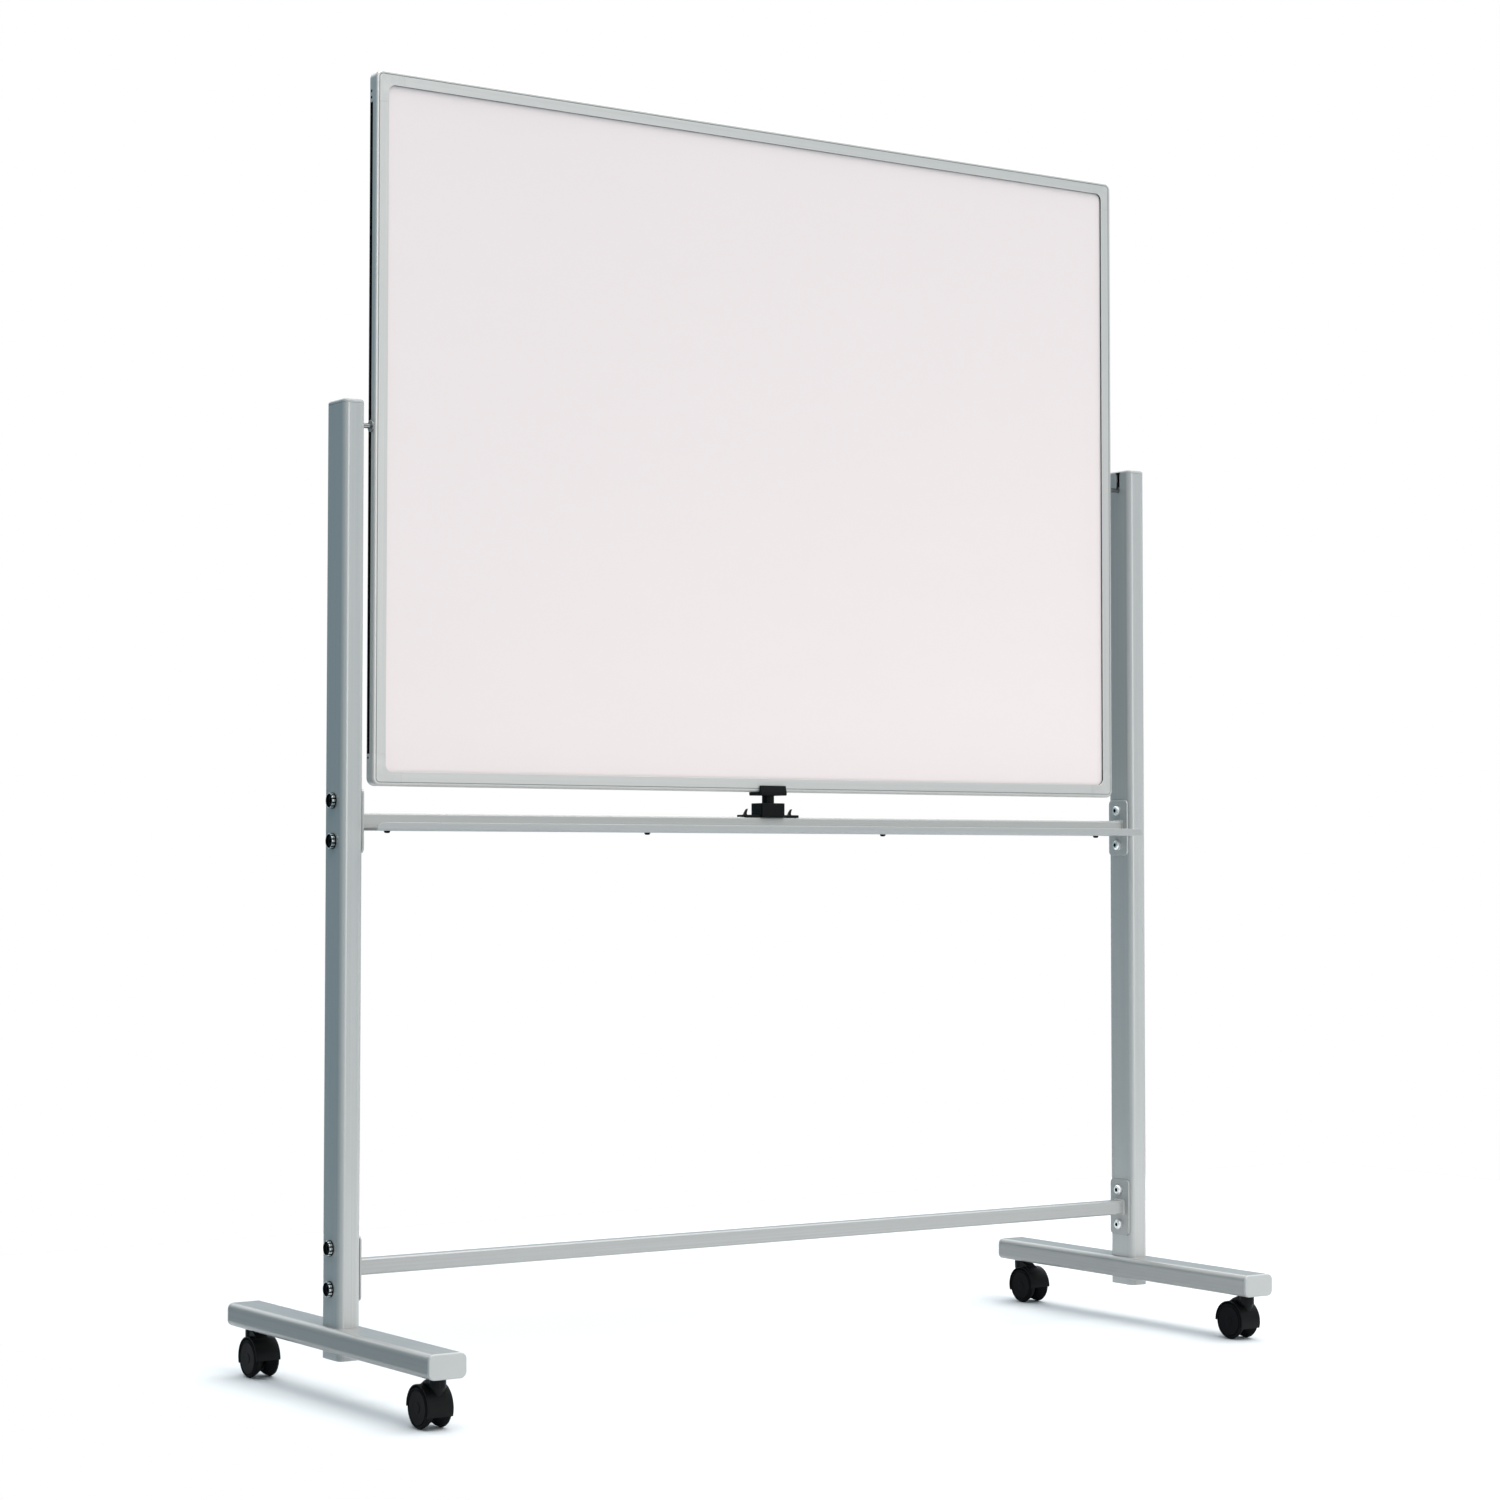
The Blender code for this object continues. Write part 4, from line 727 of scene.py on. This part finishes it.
kinds = [edge_kind(co_pts[i], co_pts[(i + 1) % len(co_pts)]) for i in range(len(co_pts))]
front_r = [{"end": 0.0, "outer": 3.0, "inner": 0.6}[k] for k in kinds]
rear_r = [{"end": 0.0, "outer": 1.4, "inner": 0.6}[k] for k in kinds]
for vert, sz in (("bottom", -1.0), ("top", 1.0)):
    for side, sx in SIDES:
        vx, vy = Vector((-sx, 0, 0)), Vector((0, 0, -sz))
        az = vx.cross(vy)                       # +Y or -Y
        front_first = az.y > 0                  # local -Z end is the front
        cx, cz = sx * BOARD_W / 2, PIVOT_Z + sz * BOARD_H / 2
        co = slab("corner_piece_%s_%s" % (vert, side), co_pts, -HT, HT, (tuple(vx), tuple(vy), tuple(az)), [M_ALU_C, M_SLOT_BLACK_HOLE_SHADE], (cx, 0, cz),
                  r0=front_r if front_first else rear_r, r1=rear_r if front_first else front_r, n=6)
        tools = []
        lo = [min(cx - sx * POCKET, cx - sx * 80.0), -LIP_IN, min(cz - sz * POCKET, cz - sz * 80.0)]
        hi = [max(cx - sx * POCKET, cx - sx * 80.0), LIP_IN, max(cz - sz * POCKET, cz - sz * 80.0)]
        tools.append(block(lo, hi, M_ALU_C))
        # the fine groove goes on round the corner, on both faces
        g = [(4.6, 60.0)] + arc(CORNER_R, CORNER_R, CORNER_R - 4.6, 180, 270, 10) + [(60.0, 4.6)]
        for f in (-1.0, 1.0):
            path = [(cx - sx * x, f * HT, cz - sz * z) for x, z in g]
            tri = [(-0.45, 0.4), (-0.45, 0.0), (-0.2, -0.36), (0.0, -0.5), (0.2, -0.36), (0.45, 0.0), (0.45, 0.4)]
            # The groove's cut faces take the darker groove colour: painted shade.
            tools.append(sweep("tool", path, tri, M_SHADE_IN_GROOVE, (0, f, 0), closed=False))
        # access holes in the side, in line with the groove of the rails
        holes = ((26.0, 2.0), (34.0, 2.0)) if vert == "top" else ((38.0 - 3.0, 1.8),)
        for dist, r in holes:
            # The hole walls are near-black: painted shade.
            t = lathe("tool", [(0, 2.0), (r, 2.0), (r, -6.5), (0, -6.5)], 20, ((0, 1, 0), (0, 0, sx), (sx, 0, 0)), M_SLOT_BLACK_HOLE_SHADE, (cx, 4.0, cz - sz * dist))
            tools.append(t)
        boolean(co, *tools, keep=True)
        # The corner's inner step wall takes the same colour: painted shade.
        co.data.materials.append(M_STEP_WALL_SHADE)
        step_shade_slot = len(co.data.materials) - 1
        for f in co.data.polygons:
            dx, dz = abs(cx - f.center.x / MM), abs(cz - f.center.z / MM)
            if min(dx, dz) > RAIL_W - 0.3 and abs(f.normal.y) < 0.35 and LIP_IN - 0.05 < abs(f.center.y / MM) < HT - 0.4:
                f.material_index = step_shade_slot
        done(co, "board", "anodised_aluminium", "frame_corner_%s_%s" % (vert, side), cut=True, angle=30)

# ================================================================ board: writing panels
ins = POCKET + 0.4
for which, y0, y1, cad in (("front", -HT + RECESS, -0.15, "front_panel"), ("rear", 0.15, HT - RECESS, "rear_panel")):
    pn = slab("writing_sheet_" + which, rrect(BOARD_H - 2 * ins, BOARD_W - 2 * ins, 2.0, 4), y0, y1, ALONG_Y, M_WHITE, (0, 0, PIVOT_Z),
              r0=0.3, r1=0.3, n=2)
    done(pn, "board", "white_board", cad)

# ================================================================ board: pivot pins
for side, s in SIDES:
    b, u = BOARD_W / 2, UP_X - UP_W / 2 + WALL
    prof = fillet([(0.0, u + 5.0), (5.0, u + 5.0), (6.0, u + 4.0, 0.5), (6.0, u + 0.8, 0.3), (3.25, u + 0.8), (3.25, b + 1.8), (7.5, b + 1.8, 0.6),
                   (7.5, b + 0.1, 0.2), (3.25, b + 0.1), (3.25, b - POCKET + 0.6), (2.6, b - POCKET + 0.2), (0.0, b - POCKET + 0.2)], closed=False, n=4)
    pin = lathe("pivot_stud_" + side, prof, 40, ((0, 1, 0), (0, 0, s), (s, 0, 0)), M_SHADED_PIN_STEEL, (0, 0, PIVOT_Z))
    done(pin, "board", "bright_steel", "pivot_pin_" + side)

# ================================================================ casters
for end, e in ENDS:
    for side, s in SIDES:
        tag = "%s_%s" % (end, side)
        cx, sy = s * UP_X, e * CASTER_Y
        wy = sy - e * TRAIL
        prof = fillet([(0.0, 84.0), (5.0, 84.0, 0.8), (5.0, 67.2), (8.0, 67.2, 0.4), (8.0, 63.6, 0.4), (5.0, 63.6), (5.0, FOOT_Z0), (4.0, FOOT_Z0), (4.0, 48.8, 0.6),
                       (0.0, 48.8)], closed=False, n=3)
        st = lathe("swivel_stem_" + tag, prof, 32, ALONG_Z, M_ZINC, (cx, sy, 0))
        done(st, "stand", "zinc_steel", "caster_stem_" + tag)

        def at(r, deg):
            return (wy + e * r * math.cos(math.radians(deg)), WHEEL_R + r * math.sin(math.radians(deg)))
        a0, a1, na = -19.0, 182.0, 64
        shell = [at(HOOD_R, a0 + (a1 - a0) * i / na) for i in range(na + 1)]
        shell += [at(HOOD_IN + 0.0, a1 + (a0 - a1) * i / na) for i in range(na + 1)]
        hood = slab("hood_cover_" + tag, shell, cx - HOOD_X, cx + HOOD_X, ALONG_X, M_BLACK, r0=0.55, r1=0.55, n=4)
        boss = lathe("tool", fillet([(0.0, FOOT_Z0 - 0.25), (10.0, FOOT_Z0 - 0.25, 0.8), (10.0, 50.0, 3.0), (5.0, 39.5), (0.0, 39.5)], closed=False, n=5), 48,
                     ALONG_Z, M_BLACK, (cx, sy, 0))
        boolean(hood, boss, op="UNION")
        fair = fillet([(sy - e * 3.0, 50.0), (sy - e * 3.0, 60.4), (sy - e * 9.5, 60.4, 3.0), (sy - e * 20.0, 56.2, 6.0), (sy - e * 29.0, 50.8), (sy - e * 27.0, 49.2)], n=4)
        boolean(hood, slab("tool", fair, cx - 8.0, cx + 8.0, ALONG_X, M_BLACK, r0=0.8, r1=0.8, n=3), op="UNION")
        boolean(hood, cyl(25.85, cx - 25, cx + 25, ALONG_X, (0, wy, WHEEL_R), 96))
        web = [at(26.9, -12.0 + 190.0 * i / 40) for i in range(41)] + [at(7.0, 200.0 + 140.0 * i / 14) for i in range(15)]
        boolean(hood, slab("tool", web, cx - 1.2, cx + 1.2, ALONG_X, M_BLACK), op="UNION")
        boolean(hood, cyl(3.4, cx - 5, cx + 5, ALONG_X, (0, wy, WHEEL_R), 24), cyl(4.4, 48.3, 70.0, ALONG_Z, (cx, sy, 0), 24))
        done(hood, "caster_" + tag, "black_plastic", "caster_hood_" + tag, cut=True, angle=40)

        ax_p = fillet([(0.0, 13.4), (3.0, 13.4, 0.5), (3.0, -13.4, 0.5), (0.0, -13.4)], closed=False, n=3)
        axle = lathe("wheel_axle_" + tag, ax_p, 28, ALONG_X, M_ZINC, (cx, wy, WHEEL_R))
        done(axle, "caster_" + tag, "bright_steel", "caster_axle_" + tag)

        for pos, ws in (("outer", s), ("inner", -s)):
            raw = [(0.0, WHEEL_OUT - 0.3), (6.0, WHEEL_OUT - 0.3, 0.6), (6.6, WHEEL_OUT - 0.8, 0.4), (20.2, WHEEL_OUT - 0.5, 0.5), (20.7, WHEEL_OUT - 1.5, 0.2),
                   (21.9, WHEEL_OUT - 1.5, 0.2), (22.2, WHEEL_OUT - 0.1, 0.35), (23.3, WHEEL_OUT - 0.4, 0.8), (24.75, WHEEL_OUT - 2.6, 1.5), (25.0, 13.6, 1.2),
                   (22.5, 8.2, 4.0), (19.4, 4.0, 2.0), (16.2, WHEEL_IN, 0.8), (14.0, WHEEL_IN, 0.3), (14.0, 12.0), (7.0, 12.0), (7.0, WHEEL_IN, 0.3),
                   (3.35, WHEEL_IN), (3.35, 13.8), (0.0, 13.8)]
            prof = fillet(raw, closed=False, n=4)
            tags = []
            for p, q in zip(prof, prof[1:]):
                r, h = (p[0] + q[0]) / 2, (p[1] + q[1]) / 2
                tags.append(0 if (r < 21.0 and h > WHEEL_OUT - 2) or r < 15.9 else 1)
            w = lathe("wheel_%s_%s_tyre" % (tag, pos), prof, 72, ((0, 1, 0), (0, 0, ws), (ws, 0, 0)), [M_DISC, M_TREAD], (cx, wy, WHEEL_R), tags=tags)
            done(w, "wheel_%s_%s" % (tag, pos), "wheel_plastic", "caster_wheel_%s_%s" % (tag, pos), angle=40)

# ================================================================ stage
bm = bmesh.new()
bmesh.ops.create_grid(bm, x_segments=1, y_segments=1, size=1.0, matrix=Matrix.Translation((0.90, -0.35, 0.0)) @ Matrix.Diagonal((1.70, 2.0, 1.0, 1.0)))
me = bpy.data.meshes.new("floor")
bm.to_mesh(me)
bm.free()
floor = bpy.data.objects.new("floor", me)
scene.collection.objects.link(floor)
fm = bpy.data.materials.new("pale_floor")
fm.use_nodes = True
fp = fm.node_tree.nodes["Principled BSDF"]
fp.inputs["Base Color"].default_value = (0.665, 0.682, 0.695, 1.0)
fp.inputs["Roughness"].default_value = 0.9
fp.inputs["Specular IOR Level"].default_value = 0.0
me.materials.append(fm)

ROOM, FILL, BOX, BACK = 0.37, 0.27, 2.3, 1.75
world = bpy.data.worlds.new("studio")
scene.world = world
world.use_nodes = True
wt = world.node_tree
wt.nodes.clear()
w_out = node(wt, "ShaderNodeOutputWorld", 800, 0)
w_mix = node(wt, "ShaderNodeMixShader", 600, 0)
w_path = node(wt, "ShaderNodeLightPath", 300, 300)
w_white = node(wt, "ShaderNodeBackground", 300, -150)
w_white.inputs["Color"].default_value = (1, 1, 1, 1)
w_white.inputs["Strength"].default_value = 1.0
w_tc = node(wt, "ShaderNodeTexCoord", -900, 0)


def toward(direction, f0, f1, y, absolute=False):
    """How far a direction of the room faces the given one: 0 below f0, 1 above f1."""
    d = node(wt, "ShaderNodeVectorMath", -700, y, operation="DOT_PRODUCT")
    d.inputs[1].default_value = Vector(direction).normalized()
    wt.links.new(w_tc.outputs["Generated"], d.inputs[0])
    out = d.outputs["Value"]
    if absolute:
        ab = node(wt, "ShaderNodeMath", -550, y, operation="ABSOLUTE")
        wt.links.new(out, ab.inputs[0])
        out = ab.outputs[0]
    m = node(wt, "ShaderNodeMapRange", -400, y, interpolation_type="SMOOTHSTEP")
    flip = f0 > f1
    m.inputs["From Min"].default_value = min(f0, f1)
    m.inputs["From Max"].default_value = max(f0, f1)
    m.inputs["To Min"].default_value = 1.0 if flip else 0.0
    m.inputs["To Max"].default_value = 0.0 if flip else 1.0
    wt.links.new(out, m.inputs["Value"])
    return m.outputs["Result"]


def times(*socks):
    out = socks[0]
    for k in socks[1:]:
        m = node(wt, "ShaderNodeMath", -150, 0, operation="MULTIPLY")
        wt.links.new(out, m.inputs[0])
        if isinstance(k, float):
            m.inputs[1].default_value = k
        else:
            wt.links.new(k, m.inputs[1])
        out = m.outputs[0]
    return out


def panel_light(colour, strength):
    bg = node(wt, "ShaderNodeBackground", 100, 0)
    bg.inputs["Color"].default_value = (colour[0], colour[1], colour[2], 1.0)
    if isinstance(strength, float):
        bg.inputs["Strength"].default_value = strength
    else:
        wt.links.new(strength, bg.inputs["Strength"])
    return bg.outputs[0]


# a dim cool room, a broad front fill from the right, a tall light box nearly straight in front, and a fill behind
lights = [panel_light((0.60, 0.87, 1.02), ROOM),
          panel_light((1.0, 0.955, 0.94), times(toward((0.62, -0.66, 0.42), -0.35, 0.95, -200), FILL)),
          panel_light((1.0, 0.965, 0.94), times(toward((0.993, 0.12, 0.0), 0.27, 0.16, -400, True), toward((0.12, -0.993, 0.0), 0.05, 0.3, -600),
                                                 toward((0, 0, 1), -0.12, 0.0, -800), BOX)),
          panel_light((0.99, 0.985, 0.985), times(toward((0.62, 0.72, 0.30), 0.15, 0.85, -1000), toward((0, 0, 1), 0.22, 0.50, -1200), BACK))]
total = lights[0]
for sh in lights[1:]:
    ad = node(wt, "ShaderNodeAddShader", 300, 0)
    wt.links.new(total, ad.inputs[0])
    wt.links.new(sh, ad.inputs[1])
    total = ad.outputs[0]
wt.links.new(w_path.outputs["Is Camera Ray"], w_mix.inputs[0])
wt.links.new(total, w_mix.inputs[1])
wt.links.new(w_white.outputs[0], w_mix.inputs[2])
wt.links.new(w_mix.outputs[0], w_out.inputs["Surface"])

sun = bpy.data.lights.new("soft_key", "SUN")
sun.energy = 2.35
sun.angle = math.radians(62)
sun.color = (1.0, 0.965, 0.945)
sun_ob = bpy.data.objects.new("soft_key", sun)
scene.collection.objects.link(sun_ob)
sun_ob.rotation_mode = "QUATERNION"
sun_ob.rotation_quaternion = Vector((0.08, -0.20, 0.97)).to_track_quat("Z", "Y")

scene.view_settings.view_transform = "Standard"
scene.view_settings.look = "None"
scene.view_settings.exposure = 0.0
scene.view_settings.gamma = 1.0

cam = bpy.data.cameras.new("camera")
cam_ob = bpy.data.objects.new("camera", cam)
scene.collection.objects.link(cam_ob)
cam.sensor_width = 36.0
cam.lens = 77.17
cam.shift_x = -0.0284
cam.shift_y = -0.0119
cam.clip_start, cam.clip_end = 0.05, 200.0
R = Vector((0.82286, -0.56825, 0.0))
U = Vector((-0.02388, -0.03458, 0.99912))
F = Vector((0.56775, 0.82213, 0.04202))
rot = Matrix((R, U, -F)).transposed()
cam_ob.rotation_mode = "QUATERNION"
cam_ob.rotation_quaternion = rot.to_quaternion()
cam_ob.location = (-2.4406, -3.5926, 0.6555)
scene.camera = cam_ob
